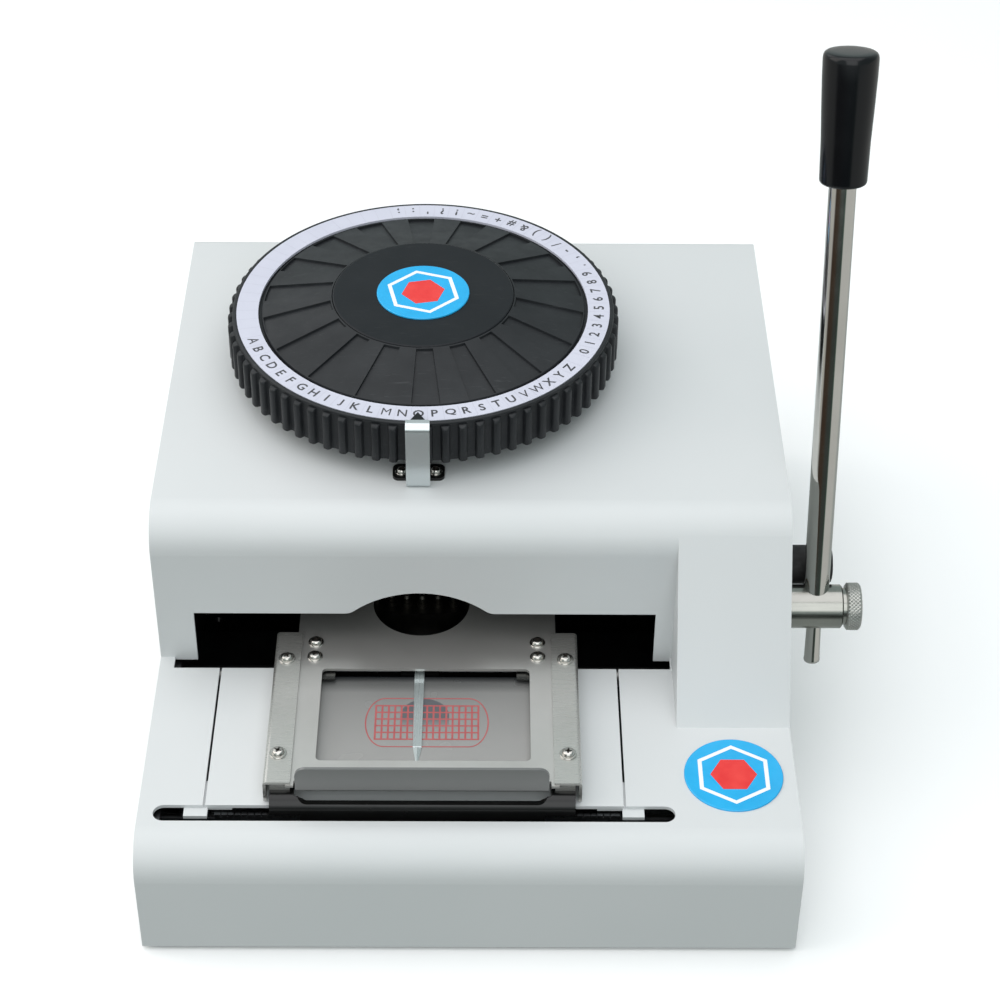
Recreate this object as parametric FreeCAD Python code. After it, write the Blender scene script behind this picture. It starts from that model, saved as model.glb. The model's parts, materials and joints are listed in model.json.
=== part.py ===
import FreeCAD, Part
import math
import os

V = FreeCAD.Vector

# Plastic card embosser. All sizes in millimetres.
# Building frame: X to the operator's right from the case's middle plane,
# Y to the back from the case's front face, Z up from the desk.

# Fits
RUN = 0.05
SEAT = 0.02
FREE = 0.5

# Sheet metal case
CASE_W = 250.0
FOOT_H = 2.0
DECK_Z = 52.5
SHEET = 1.5
FRONT_BEND = 15.0
TOP_BEND = 16.0
REAR_BEND = 6.0
REAR_SEAM_H = 58.0
REAR_MARGIN = 13.3
TOP_MARGIN = 16.1
TOWER_W = 44.3
TOWER_REACH = 39.4
FLANGE_D = 12.5

# Openings in the case
MOUTH_INSET_L = 14.8
MOUTH_INSET_R = 7.2
MOUTH_H = 23.8
ARCH_H = 10.9
ARCH_R = 40.7
ARCH_BLEND = 6.0
SLOT_INSET_L = 5.8
SLOT_INSET_R = 3.0
SLOT_Y0 = 18.0
SLOT_W = 8.0
BACK_SLOT_W = 6.4
BACK_SLOT_INSET_R = 0.6
PANEL_INSET_L = 25.15
PANEL_INSET_R = 22.35
SLIT = 0.9

# Card carriage, sized outwards from the card window
WINDOW_W = 82.0
WINDOW_D = 50.6
WINDOW_INSET = 18.7
WINDOW_BACK = 16.3
PLATE_SIDE = 10.6
GUIDE_SIDE = 7.4
LIP_SIDE = 3.9
CUT_SIDE = 11.0
MAP_SIDE = 4.0
PLATE_W = WINDOW_W + 2 * PLATE_SIDE
CAR_W = PLATE_W + 2 * GUIDE_SIDE
LIP_W = PLATE_W - 2 * LIP_SIDE
CUT_W = CAR_W - 2 * CUT_SIDE
MAP_W = CUT_W - 2 * MAP_SIDE
BRIDGE_LIFT = 5.5
BRIDGE_T = 1.5
CAR_OFFSET = 2.6
LEG_DROP = 27.0
LEG_INSET = 4.0
LEG_BEND = 5.6
REAR_LEG_INSET = 1.4
REAR_LEG_BEND = 2.5
FOOT_CUT = 11.5
BRACKET_SIDE = 1.3
CUT_H = 2.1
PLATE_LIFT = 2.5
PLATE_T = 1.2
PLATE_BACK = 6.0
LIP_H = 12.1
LIP_INSET = 3.3
LIP_CORNER_R = 4.0
GUIDE_T = 1.2
GUIDE_W = 10.4
GUIDE_DROP = 10.0
GUIDE_REACH = 3.4
GUIDE_INSET = 5.8
MAP_T = 1.2
SLIDE_ROD_R = 4.0
ROD_DROP = 14.5
ROD_INSET = 8.0
REAR_ROD_INSET = 9.4
NOTCH_R = 19.6
BLOCK_L = 20.0

# Character wheel
WHEEL_X = -20.3
SHAFT_R = 7.0
CELLS = 72
KNOB_GAP = 9.1
KNOB_H = 18.9
KNOB_R = 80.5
CROWN_H = 6.9
RING_W = 9.3
RING_EDGE = 3.6
RING_GROOVE = 1.2
CAP_R = 37.2
CAP_T = 2.0
BADGE_R = 19.0
BADGE_T = 0.7
DECK_BADGE_X = 23.9
DECK_BADGE_Y = 16.3
DISC_EDGE = 0.5
CELL_EDGE = 5.8
PUNCH_R = 1.55
PUNCH_REACH = 3.8
PUNCH_HEAD = 2.5
UPPER_DISC_T = 8.0
LOWER_DISC_T = 12.0
CARD_GAP = 4.8
DIE_REACH = 5.4
DISC_R = KNOB_R - DISC_EDGE
CELL_R = DISC_R - CELL_EDGE
RING_R1 = KNOB_R - RING_EDGE
RING_R0 = RING_R1 - RING_W

# Press
PRESS_BACK = 32.4
RAM_R = 5.0
RAM_HEAD_R = 10.0
RAM_HEAD_T = 4.0
RAM_STROKE = 3.2
RAM_GAP = 0.4
LEVER_STROKE = 60.0
CAM_R = 8.0
CAM_GAP = 0.3
CAM_SHAFT_R = 5.0
HEAD_T = 6.0
HEAD_GAP = 0.9
SPRING_H = 6.7
SPRING_WIRE_R = 0.7
CAM_RISE_PER_RAD = RAM_STROKE / math.radians(LEVER_STROKE)

# Heights that follow from one another
CASE_Z0 = FOOT_H
REAR_SEAM_Z = CASE_Z0 + REAR_SEAM_H
BRIDGE_TOP_Z = DECK_Z + BRIDGE_LIFT
PLATE_BOTTOM_Z = BRIDGE_TOP_Z + PLATE_LIFT
GUIDE_TOP_Z = PLATE_BOTTOM_Z + PLATE_T + 2 * RUN + GUIDE_T
PUNCH_TIP_Z = PLATE_BOTTOM_Z + PLATE_T + FREE
DIE_TOP_Z = PUNCH_TIP_Z - CARD_GAP
UPPER_DISC_Z0 = PUNCH_TIP_Z + PUNCH_REACH
UPPER_DISC_Z1 = UPPER_DISC_Z0 + UPPER_DISC_T
LOWER_DISC_Z1 = DIE_TOP_Z - DIE_REACH
LOWER_DISC_Z0 = LOWER_DISC_Z1 - LOWER_DISC_T
RAM_Z0 = UPPER_DISC_Z1 + PUNCH_HEAD + RAM_GAP + RAM_STROKE
PLATE_Z0 = RAM_Z0 + HEAD_GAP
PLATE_Z1 = PLATE_Z0 + HEAD_T
RAM_TOP_Z = PLATE_Z1 + SPRING_H + RAM_HEAD_T
CAM_Z = RAM_TOP_Z + CAM_GAP + CAM_R
TOP_Z = CAM_Z + TOP_MARGIN
ROD_Z = DECK_Z - ROD_DROP
MOUTH_TOP_Z = DECK_Z + MOUTH_H
ARCH_TOP_Z = MOUTH_TOP_Z + ARCH_H
KNOB_FOOT_Z = TOP_Z + KNOB_GAP
KNOB_TOP_Z = KNOB_FOOT_Z + KNOB_H
CAP_Z = KNOB_TOP_Z + CROWN_H

# Places that follow from one another, front to back and left to right
HALF = CASE_W / 2
TOWER_X = HALF - TOWER_W
SLOT_Y1 = SLOT_Y0 + SLOT_W
LEG_Y = SLOT_Y0 + LEG_INSET
WINDOW_Y0 = LEG_Y + WINDOW_INSET
WINDOW_Y1 = WINDOW_Y0 + WINDOW_D
RECESS_Y = WINDOW_Y1 + WINDOW_BACK
BACK_SLOT_Y0 = RECESS_Y - BACK_SLOT_W
TOWER_FOOT_Y = RECESS_Y - TOWER_REACH
PRESS_X = WHEEL_X
PRESS_Y = RECESS_Y + PRESS_BACK
WHEEL_Y = PRESS_Y + CELL_R
CASE_D = WHEEL_Y + KNOB_R + REAR_MARGIN
MOUTH_X0 = -HALF + MOUTH_INSET_L
MOUTH_X1 = TOWER_X - MOUTH_INSET_R
SLOT_X0 = -HALF + SLOT_INSET_L
SLOT_X1 = TOWER_X - SLOT_INSET_R
BACK_SLOT_X1 = TOWER_X - BACK_SLOT_INSET_R
PANEL_X0 = -HALF + PANEL_INSET_L
PANEL_X1 = TOWER_X - PANEL_INSET_R
CAR_X = PRESS_X + CAR_OFFSET
REAR_LEG_Y = BACK_SLOT_Y0 + REAR_LEG_INSET
GUIDE_Y0 = LEG_Y + GUIDE_INSET
GUIDE_Y1 = RECESS_Y + GUIDE_REACH
WINDOW_X0 = CAR_X - WINDOW_W / 2
WINDOW_X1 = CAR_X + WINDOW_W / 2
PLATE_X0 = CAR_X - PLATE_W / 2
PLATE_X1 = CAR_X + PLATE_W / 2
PLATE_Y1 = PRESS_Y - PLATE_BACK
FRONT_ROD_Y = LEG_Y + ROD_INSET
REAR_ROD_Y = REAR_LEG_Y + REAR_ROD_INSET
BRACKET_HALF = CAR_W / 2 - BRACKET_SIDE

# Lever
LEVER_BACK = 12.4
LEVER_DROP = 52.1
LEVER_LEAN = 15.0
HUB_R = 8.9
HUB_L = 23.6
ROD_R = 5.2
ROD_EDGE = 10.5
STUB_R = 3.0
STUB_END_R = 3.35
STUB_L = 25.0
STUD_R = 3.0
NUT_R = 9.7
NUT_L = 5.9
NECK_L = 1.5
NECK_R = 7.5
ROD_L = 176.9
GRIP_L = 50.3
SOCKET_R = 4.0
SOCKET_L = 35.0
BUSH_R = 9.0
BUMPER_R = 8.0
BUMPER_L = 20.0
BUMPER_ALONG = 12.2
SHAFT_IN_R = 6.0
CRANK_R = 18.0
CRANK_ANGLE = -59.0
CRANK_T = 6.0
ARM_W = 10.0
PIN_R = 3.0
LINK_T = 5.0
LEVER_Y = RECESS_Y + LEVER_BACK
LEVER_Z = TOP_Z - LEVER_DROP
HUB_X0 = HALF + FREE
HUB_X1 = HUB_X0 + HUB_L
ROD_X = HUB_X1 - ROD_EDGE
NUT_X0 = HUB_X1 + NECK_L
NUT_X1 = NUT_X0 + NUT_L
LEVER_L = ROD_L + GRIP_L

# Chassis
CHEEK_T = 4.0
CHEEK_GAP = 2.5
TOWER_GAP = 3.3
BASE_T = 2.0
BEAM_H = 6.0
BEAM_T = 16.0
FLOOR_Z = CASE_Z0 + BASE_T
BEAM_Z0 = FLOOR_Z + BEAM_H
BEAM_Z1 = BEAM_Z0 + BEAM_T
CHEEK_LX = -HALF + SHEET + CHEEK_GAP
CHEEK_RX = TOWER_X + TOWER_GAP

# Screws: shank radius, head radius and height, collar radius and thickness
BASE_SCREW = (1.6, 3.0, 1.4, 3.0, 0.3)
FRAME_SCREW = (2.0, 3.6, 2.0, 3.6, 0.4)
GUIDE_SCREW = (1.5, 2.4, 1.5, 3.3, 0.5)
CLAMP_SCREW = (1.3, 2.4, 1.4, 3.1, 0.5)
SMALL_SCREW = (1.2, 1.9, 1.3, 2.6, 0.4)
NEEDLE_SCREW = (1.2, 2.0, 0.6, 2.0, 0.2)

# The stored origin is the middle of the bounding box, at desk level.
SHIFT = V(-(NUT_X1 - HALF) / 2, -CASE_D / 2, 0)

parts = {}


def box(x0, x1, y0, y1, z0, z1):
    return Part.makeBox(x1 - x0, y1 - y0, z1 - z0, V(x0, y0, z0))


def rod(r, x, y, z, length, axis=V(0, 0, 1)):
    return Part.makeCylinder(r, length, V(x, y, z), axis)


def tube(r1, r0, x, y, z, length, axis=V(0, 0, 1)):
    return rod(r1, x, y, z, length, axis).cut(rod(r0, x, y, z, length, axis))


def join(shapes):
    if len(shapes) == 1:
        return shapes[0]
    return shapes[0].multiFuse(shapes[1:]).removeSplitter()


def on_xy(z):
    return lambda p: V(p.x, p.y, z)


def on_yz(x):
    return lambda p: V(x, p.x, p.y)


def on_xz(y):
    return lambda p: V(p.x, y, p.y)


def rounded_wire(points, radii, place):
    """Closed wire through 2-D points, with a radius at each corner."""
    stations = []
    count = len(points)
    for i in range(count):
        p = V(points[i][0], points[i][1], 0)
        if radii[i] <= 0:
            stations.append((p, None, p))
            continue
        before = points[i - 1]
        after = points[(i + 1) % count]
        u = (V(before[0], before[1], 0) - p).normalize()
        w = (V(after[0], after[1], 0) - p).normalize()
        half = u.getAngle(w) / 2
        bisector = (u + w).normalize()
        centre = p + bisector * (radii[i] / math.sin(half))
        cut = radii[i] / math.tan(half)
        stations.append((p + u * cut, centre - bisector * radii[i], p + w * cut))
    edges = []
    for i in range(count):
        enter, middle, leave = stations[i]
        if middle is not None:
            edges.append(Part.Arc(place(enter), place(middle), place(leave)).toShape())
        follow = stations[(i + 1) % count][0]
        if (follow - leave).Length > 1e-6:
            edges.append(Part.makeLine(place(leave), place(follow)))
    return Part.Wire(edges)


def slab(points, radii, place, along):
    return Part.Face(rounded_wire(points, radii, place)).extrude(along)


def rect(x0, x1, y0, y1):
    return [(x0, y0), (x1, y0), (x1, y1), (x0, y1)]


def offset_right(points, t):
    """Open 2-D polyline moved to its right by t."""
    lines = []
    for a, b in zip(points[:-1], points[1:]):
        length = math.hypot(b[0] - a[0], b[1] - a[1])
        n = ((b[1] - a[1]) / length * t, -(b[0] - a[0]) / length * t)
        lines.append(((a[0] + n[0], a[1] + n[1]), (b[0] + n[0], b[1] + n[1])))
    moved = [lines[0][0]]
    for (a, b), (c, d) in zip(lines[:-1], lines[1:]):
        e = (b[0] - a[0], b[1] - a[1])
        f = (d[0] - c[0], d[1] - c[1])
        s = ((c[0] - a[0]) * f[1] - (c[1] - a[1]) * f[0]) / (e[0] * f[1] - e[1] * f[0])
        moved.append((a[0] + e[0] * s, a[1] + e[1] * s))
    moved.append(lines[-1][1])
    return moved


def bent_sheet(points, radii, t, place, along):
    """Sheet whose outer side follows the points; it bends to the right."""
    inner = offset_right(points, t)
    inner_radii = [max(r - t, 0) if r > 0 else 0 for r in radii]
    outline = points + inner[::-1]
    return slab(outline, radii + inner_radii[::-1], place, along)


def pan_screw(x, y, z, kind, shank, up=V(0, 0, 1)):
    """Pan head screw with a collar; its seat is at x, y, z and the shank runs back."""
    shank_r, r, h, collar_r, collar_t = kind
    under = V(x, y, z)
    seat = under + up * collar_t
    head = Part.makeCylinder(r, h, seat, up)
    rim = [e for e in head.Edges if e.Closed and (e.CenterOfMass - seat).dot(up) > h / 2]
    head = head.makeFillet(min(h, r) * 0.55, rim)
    slot = r * 0.55
    collar = Part.makeCylinder(collar_r, collar_t, under, up)
    shank = Part.makeCylinder(shank_r, shank + 0.1, under - up * shank, up)
    body = join([head, collar, shank])
    side = V(1, 0, 0) if abs(up.x) < 0.5 else V(0, 1, 0)
    cross = up.cross(side)
    for d, e in ((side, cross), (cross, side)):
        corner = seat + up * (h * 0.45) - d * slot - e * 0.3
        wire = Part.makePolygon([corner, corner + d * slot * 2, corner + d * slot * 2 + e * 0.6,
                                 corner + e * 0.6, corner])
        body = body.cut(Part.Face(wire).extrude(up * h))
    return body


# ---------------------------------------------------------------- case

def tower_profile():
    """Tower front line, tangent to the top bend; returns foot and top corner."""
    cy = RECESS_Y + TOP_BEND
    cz = TOP_Z - TOP_BEND
    dy = cy - TOWER_FOOT_Y
    dz = cz - DECK_Z
    angle = math.atan2(dz, dy) + math.asin(TOP_BEND / math.hypot(dy, dz))
    top_y = TOWER_FOOT_Y + (TOP_Z - DECK_Z) / math.tan(angle)
    return angle, top_y


TOWER_ANGLE, TOWER_TOP_Y = tower_profile()
TOWER_WALL_Y = TOWER_FOOT_Y + SHEET / math.sin(TOWER_ANGLE)


def build_front_cover():
    path = [(0, CASE_Z0), (0, DECK_Z), (RECESS_Y, DECK_Z)]
    sheet = bent_sheet(path, [0, FRONT_BEND, 0], SHEET, on_yz(-HALF), V(CASE_W, 0, 0))
    z0 = DECK_Z - 4
    z1 = DECK_Z + 2
    r = (SLOT_Y1 - SLOT_Y0) / 2
    slot = slab(rect(SLOT_X0, SLOT_X1, SLOT_Y0, SLOT_Y1), [r * 0.999] * 4, on_xy(z0), V(0, 0, z1 - z0))
    back = box(SLOT_X0, BACK_SLOT_X1, BACK_SLOT_Y0, RECESS_Y + 1, z0, z1)
    middle = box(PANEL_X0 - SLIT, PANEL_X1 + SLIT, SLOT_Y0 + r, BACK_SLOT_Y0 + 1, z0, z1)
    tower = box(TOWER_X + SHEET, HALF, TOWER_WALL_Y, RECESS_Y + 1, z0, z1)
    sheet = sheet.cut(slot).cut(back).cut(middle).cut(tower)
    return sheet.fuse(screw_flange(SHEET))


def screw_flange(y0):
    """Inward lip along the bottom edge of the front or rear sheet."""
    reach = HALF - SCREW_INSET / 2
    flange = box(-reach, reach, y0, y0 + FLANGE_D, FLOOR_Z, FLOOR_Z + SHEET)
    for x in BASE_SCREW_X:
        flange = flange.cut(rod(BASE_SCREW[0] + RUN, x, y0 + FLANGE_D / 2, FLOOR_Z - 1, SHEET + 2))
    return flange


def build_top_cover():
    path = [(RECESS_Y, DECK_Z - SHEET), (RECESS_Y, TOP_Z), (CASE_D, TOP_Z), (CASE_D, REAR_SEAM_Z)]
    width = TOWER_X + HALF
    main = bent_sheet(path, [0, TOP_BEND, REAR_BEND, 0], SHEET, on_yz(-HALF), V(width, 0, 0))
    drop = 4.0
    foot = (TOWER_FOOT_Y - drop / math.tan(TOWER_ANGLE), DECK_Z - drop)
    path = [foot, (TOWER_TOP_Y, TOP_Z), (CASE_D, TOP_Z), (CASE_D, REAR_SEAM_Z)]
    tower = bent_sheet(path, [0, TOP_BEND, REAR_BEND, 0], SHEET, on_yz(TOWER_X), V(HALF - TOWER_X, 0, 0))
    tower = tower.cut(box(TOWER_X - 1, HALF + 1, TOWER_FOOT_Y - 10, RECESS_Y, DECK_Z - 10, DECK_Z))
    back = RECESS_Y + 2.5 * TOP_BEND
    outline = [(TOWER_FOOT_Y, DECK_Z), (TOWER_TOP_Y, TOP_Z), (back, TOP_Z), (back, DECK_Z)]
    wall = slab(outline, [0, TOP_BEND, 0, 0], on_yz(TOWER_X), V(SHEET, 0, 0))
    inner = RECESS_Y + SHEET
    low = DECK_Z - 3 * drop
    outline = [(inner, low), (inner, TOP_Z - SHEET), (back + 1, TOP_Z - SHEET), (back + 1, low)]
    wall = wall.cut(slab(outline, [0, TOP_BEND - SHEET, 0, 0], on_yz(TOWER_X - 1), V(SHEET + 2, 0, 0)))
    cover = join([main, tower, wall])
    cover = cover.cut(mouth_cutter())
    return cover.cut(rod(SHAFT_R + COLLAR_WALL + 0.2, WHEEL_X, WHEEL_Y, TOP_Z - 5, 10))


def mouth_cutter():
    """Card mouth with a round-topped bay over the embossing point."""
    cz = ARCH_TOP_Z - ARCH_R
    rise = MOUTH_TOP_Z + ARCH_BLEND - cz
    reach = math.sqrt((ARCH_R + ARCH_BLEND) ** 2 - rise ** 2)
    ux = reach / (ARCH_R + ARCH_BLEND)
    uz = rise / (ARCH_R + ARCH_BLEND)
    y = RECESS_Y - 8
    low = DECK_Z - 4

    def at(x, z):
        return V(x, y, z)

    def blend(sign):
        bx = PRESS_X + sign * reach
        bz = MOUTH_TOP_Z + ARCH_BLEND
        on_line = at(bx, MOUTH_TOP_Z)
        on_arch = at(bx - sign * ux * ARCH_BLEND, bz - uz * ARCH_BLEND)
        hx = -sign * ux
        hz = -uz - 1
        h = math.hypot(hx, hz)
        middle = at(bx + hx / h * ARCH_BLEND, bz + hz / h * ARCH_BLEND)
        return on_line, middle, on_arch

    l0, lm, l1 = blend(-1)
    r0, rm, r1 = blend(1)
    edges = [
        Part.makeLine(at(MOUTH_X0, low), at(MOUTH_X0, MOUTH_TOP_Z)),
        Part.makeLine(at(MOUTH_X0, MOUTH_TOP_Z), l0),
        Part.Arc(l0, lm, l1).toShape(),
        Part.Arc(l1, at(PRESS_X, ARCH_TOP_Z), r1).toShape(),
        Part.Arc(r1, rm, r0).toShape(),
        Part.makeLine(r0, at(MOUTH_X1, MOUTH_TOP_Z)),
        Part.makeLine(at(MOUTH_X1, MOUTH_TOP_Z), at(MOUTH_X1, low)),
        Part.makeLine(at(MOUTH_X1, low), at(MOUTH_X0, low)),
    ]
    return Part.Face(Part.Wire(edges)).extrude(V(0, 12, 0))


def build_side_panel(x, tower):
    inner = RECESS_Y + SHEET
    low = DECK_Z - SHEET
    high = TOP_Z - SHEET
    back = CASE_D - SHEET
    outline = [(SHEET, CASE_Z0), (SHEET, low)]
    radii = [0, FRONT_BEND - SHEET]
    if tower:
        slope_top = TOWER_WALL_Y + (high - DECK_Z) / math.tan(TOWER_ANGLE)
        outline += [(TOWER_WALL_Y, low), (TOWER_WALL_Y, DECK_Z), (slope_top, high)]
        radii += [0, 0, TOP_BEND - SHEET]
    else:
        outline += [(inner, low), (inner, high)]
        radii += [0, TOP_BEND - SHEET]
    outline += [(back, high), (back, CASE_Z0)]
    radii += [REAR_BEND - SHEET, 0]
    panel = slab(outline, radii, on_yz(x), V(SHEET, 0, 0))
    if tower:
        panel = panel.cut(rod(BUSH_R, x - 1, LEVER_Y, LEVER_Z, SHEET + 2, V(1, 0, 0)))
    return panel


COLLAR_WALL = 5.8
COLLAR_R = SHAFT_R + 9.0
COLLAR_T = 2.5
SCREW_INSET = 30.0
BASE_SCREW_X = (SCREW_INSET - HALF, 0.0, HALF - SCREW_INSET)
CHEEK_BACK = 18.0
CHEEK_Y1 = CASE_D - CHEEK_BACK
CHEEK_SCREW_FRONT = 37.6
CHEEK_SCREW_MID = 40.0
CHEEK_SCREW_BACK = 28.0
CHEEK_SCREW_Y = (RECESS_Y - CHEEK_SCREW_FRONT, PRESS_Y + CHEEK_SCREW_MID, CHEEK_Y1 - CHEEK_SCREW_BACK)
CHEEK_SCREW_L = 10.0
CHEEK_SCREW_R = 14.0
FOOT_R = 11.0
FOOT_INSET_X = 20.0
FOOT_INSET_Y = 26.0
FOOT_Y = (FOOT_INSET_Y + 2, CASE_D - FOOT_INSET_Y)
FOOT_POS = [(side * (HALF - FOOT_INSET_X), y) for side in (-1, 1) for y in FOOT_Y]


def build_base():
    plate = box(-HALF + SHEET, HALF - SHEET, SHEET, CASE_D - SHEET, CASE_Z0, FLOOR_Z)
    screws = []
    edge = SHEET + FLANGE_D / 2
    spots = [(x, y) for x in BASE_SCREW_X for y in (edge, CASE_D - edge)]
    spots += [(x, y) for x in (CHEEK_LX + CHEEK_SCREW_L, CHEEK_RX + CHEEK_SCREW_R) for y in CHEEK_SCREW_Y]
    for x, y in spots:
        plate = plate.cut(rod(BASE_SCREW[0] + RUN, x, y, CASE_Z0 - 1, BASE_T + 2))
        screws.append(pan_screw(x, y, CASE_Z0, BASE_SCREW, BASE_T + SHEET, V(0, 0, -1)))
    parts["base_plate"] = plate
    parts["base_screws"] = Part.makeCompound(screws)
    feet = [Part.makeCone(FOOT_R - 1, FOOT_R, FOOT_H, V(x, y, 0)) for x, y in FOOT_POS]
    parts["rubber_feet"] = Part.makeCompound(feet)


def build_rear_panel():
    panel = box(-HALF, HALF, CASE_D - SHEET, CASE_D, CASE_Z0, REAR_SEAM_Z)
    return panel.fuse(screw_flange(CASE_D - SHEET - FLANGE_D))


# ---------------------------------------------------------------- chassis

BEAM_D = 24.0
HEAD_FRONT = 18.0
HEAD_BACK = 47.8
HEAD_Y0 = PRESS_Y - HEAD_FRONT
HEAD_Y1 = WHEEL_Y + HEAD_BACK
FRAME_SHANK = 13.0
HEAD_SCREW_FRONT = 28.0
HEAD_SCREW_BACK = 22.0
HEAD_MID_Z = PLATE_Z0 + HEAD_T / 2
FRAME_SCREWS = [(HEAD_Y0 + HEAD_SCREW_FRONT, HEAD_MID_Z), (HEAD_Y1 - HEAD_SCREW_BACK, HEAD_MID_Z),
                (PRESS_Y, BEAM_Z0 + BEAM_T / 2)]
ROD_SEAT = 2.5
BOSS_H = 3.0
BEARING_R = 11.0
DIE_SHANK = 1.4


def build_cheek(x, inward):
    high = TOP_Z - 10.0
    low = DECK_Z - 3.5
    y0 = SLOT_Y0 - 2
    y1 = RECESS_Y + 6.4
    outline = [(y0, FLOOR_Z), (CHEEK_Y1, FLOOR_Z), (CHEEK_Y1, high), (y1, high), (y1, low), (y0, low)]
    cheek = slab(outline, [0, 0, 20, 0, 0, 4], on_yz(x), V(CHEEK_T, 0, 0))
    screw_x = x + (CHEEK_SCREW_L if inward > 0 else CHEEK_SCREW_R)
    f0 = x + CHEEK_T
    f1 = screw_x + 6
    flange = box(f0, f1, y0 + 24, CHEEK_Y1 - 5, FLOOR_Z, FLOOR_Z + 3)
    if inward > 0:
        bay = BEAM_D / 2 + 2
        flange = flange.cut(box(f0 - 1, f1 + 1, PRESS_Y - bay, PRESS_Y + bay, FLOOR_Z - 1, FLOOR_Z + 4))
    for y in CHEEK_SCREW_Y:
        flange = flange.cut(rod(BASE_SCREW[0] + RUN, screw_x, y, FLOOR_Z - 1, 5))
    cheek = cheek.fuse(flange)
    seat_x = x + CHEEK_T - ROD_SEAT if inward > 0 else x
    for y in (FRONT_ROD_Y, REAR_ROD_Y):
        cheek = cheek.cut(rod(SLIDE_ROD_R + SEAT, seat_x, y, ROD_Z, ROD_SEAT, V(1, 0, 0)))
    for y, z in FRAME_SCREWS:
        cheek = cheek.cut(rod(FRAME_SCREW[0] + RUN, x - 1, y, z, CHEEK_T + 2, V(1, 0, 0)))
    if inward < 0:
        cheek = cheek.cut(rod(BUSH_R, x - 1, LEVER_Y, LEVER_Z, CHEEK_T + 2, V(1, 0, 0)))
        cheek = cheek.cut(rod(CAM_SHAFT_R + 2, x - 1, PRESS_Y, CAM_Z, CHEEK_T + 2, V(1, 0, 0)))
    return cheek


def build_chassis():
    left = build_cheek(CHEEK_LX, 1)
    right = build_cheek(CHEEK_RX, -1)
    parts["cheek_left"] = left
    parts["cheek_right"] = right
    x0 = CHEEK_LX + CHEEK_T
    x1 = CHEEK_RX
    head = box(x0, x1, HEAD_Y0, HEAD_Y1, PLATE_Z0, PLATE_Z1)
    head = head.fuse(rod(RAM_R + 2, PRESS_X, PRESS_Y, PLATE_Z0, HEAD_T + BOSS_H))
    head = head.cut(rod(RAM_R + RUN, PRESS_X, PRESS_Y, PLATE_Z0 - 1, HEAD_T + BOSS_H + 2))
    head = head.cut(rod(BEARING_R + SEAT, WHEEL_X, WHEEL_Y, PLATE_Z0 - 1, HEAD_T + 2))
    beam = box(x0, x1, PRESS_Y - BEAM_D / 2, PRESS_Y + BEAM_D / 2, BEAM_Z0, BEAM_Z1)
    anvil_top = LOWER_DISC_Z0 - DIE_SHANK - 0.6
    beam = beam.fuse(rod(BEAM_D / 2, PRESS_X, PRESS_Y, BEAM_Z1 - 1, anvil_top - BEAM_Z1 + 1))
    screws = []
    for y, z in FRAME_SCREWS:
        for x, d in ((CHEEK_LX, -1), (CHEEK_RX + CHEEK_T, 1)):
            hole = rod(FRAME_SCREW[0] + RUN, x + d, y, z, FRAME_SHANK + 3, V(-d, 0, 0))
            head = head.cut(hole)
            beam = beam.cut(hole)
            screws.append(pan_screw(x, y, z, FRAME_SCREW, FRAME_SHANK, V(d, 0, 0)))
    parts["head_plate"] = head
    parts["anvil_beam"] = beam
    parts["frame_screws"] = Part.makeCompound(screws)
    bars = []
    for y in (FRONT_ROD_Y, REAR_ROD_Y):
        length = x1 - x0 + 2 * ROD_SEAT
        bars.append(rod(SLIDE_ROD_R, x0 - ROD_SEAT, y, ROD_Z, length, V(1, 0, 0)))
    parts["slide_rods"] = Part.makeCompound(bars)
    parts["spacing_rack"] = build_rack(x0, x1)
    parts["panel_stand"] = build_panel_stand()


RACK_PITCH = 2.54
RACK_DROP = 3.6
RACK_H = 5.0
RACK_STEP = 2.0
RACK_T = 1.2
RACK_INSET = 1.6
RACK_X0 = PANEL_X0 + 3.3
RACK_X1 = PANEL_X1 - 1.3
NOTCH_W = 0.4
NOTCH_D = 1.1
STAND_SIDE_L = 37.85
STAND_SIDE_R = 36.35
STAND_FRONT = 20.0
STAND_BACK = 7.2


def build_rack(x0, x1):
    """Toothed strip under the front slot; one notch per character space."""
    top = DECK_Z - RACK_DROP
    low = top - RACK_H
    outline = [(x1, low), (x0, low), (x0, top - RACK_STEP), (RACK_X0, top - RACK_STEP), (RACK_X0, top)]
    count = int((RACK_X1 - RACK_X0) / RACK_PITCH)
    for i in range(1, count):
        x = RACK_X0 + i * RACK_PITCH
        outline += [(x - NOTCH_W / 2, top), (x - NOTCH_W / 2, top - NOTCH_D)]
        outline += [(x + NOTCH_W / 2, top - NOTCH_D), (x + NOTCH_W / 2, top)]
    outline += [(RACK_X1, top), (RACK_X1, top - RACK_STEP), (x1, top - RACK_STEP)]
    return slab(outline, [0] * len(outline), on_xz(SLOT_Y1 - RACK_INSET), V(0, RACK_T, 0))


def build_panel_stand():
    """Bent stand from the base plate up to the deck panel, clear of the slide blocks."""
    y0 = SLOT_Y1 + STAND_FRONT
    y1 = BACK_SLOT_Y0 - STAND_BACK
    x0 = PANEL_X0 + STAND_SIDE_L
    x1 = PANEL_X1 - STAND_SIDE_R
    high = DECK_Z - SHEET
    floor = box(x0, x1, y0, y1, FLOOR_Z, FLOOR_Z + 2)
    walls = [box(x, x + 2, y0, y1, FLOOR_Z, high) for x in (x0, x1 - 2)]
    lips = [box(x, x + 12, y0, y1, high - SHEET, high) for x in (x0 - 10, x1 - 2)]
    return join([floor] + walls + lips)


EAR_REACH_L = 8.05
EAR_REACH_R = 7.75
EAR_LAP = 10.0
EAR_FRONT = 4.2
EAR_BACK = 14.0


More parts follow.
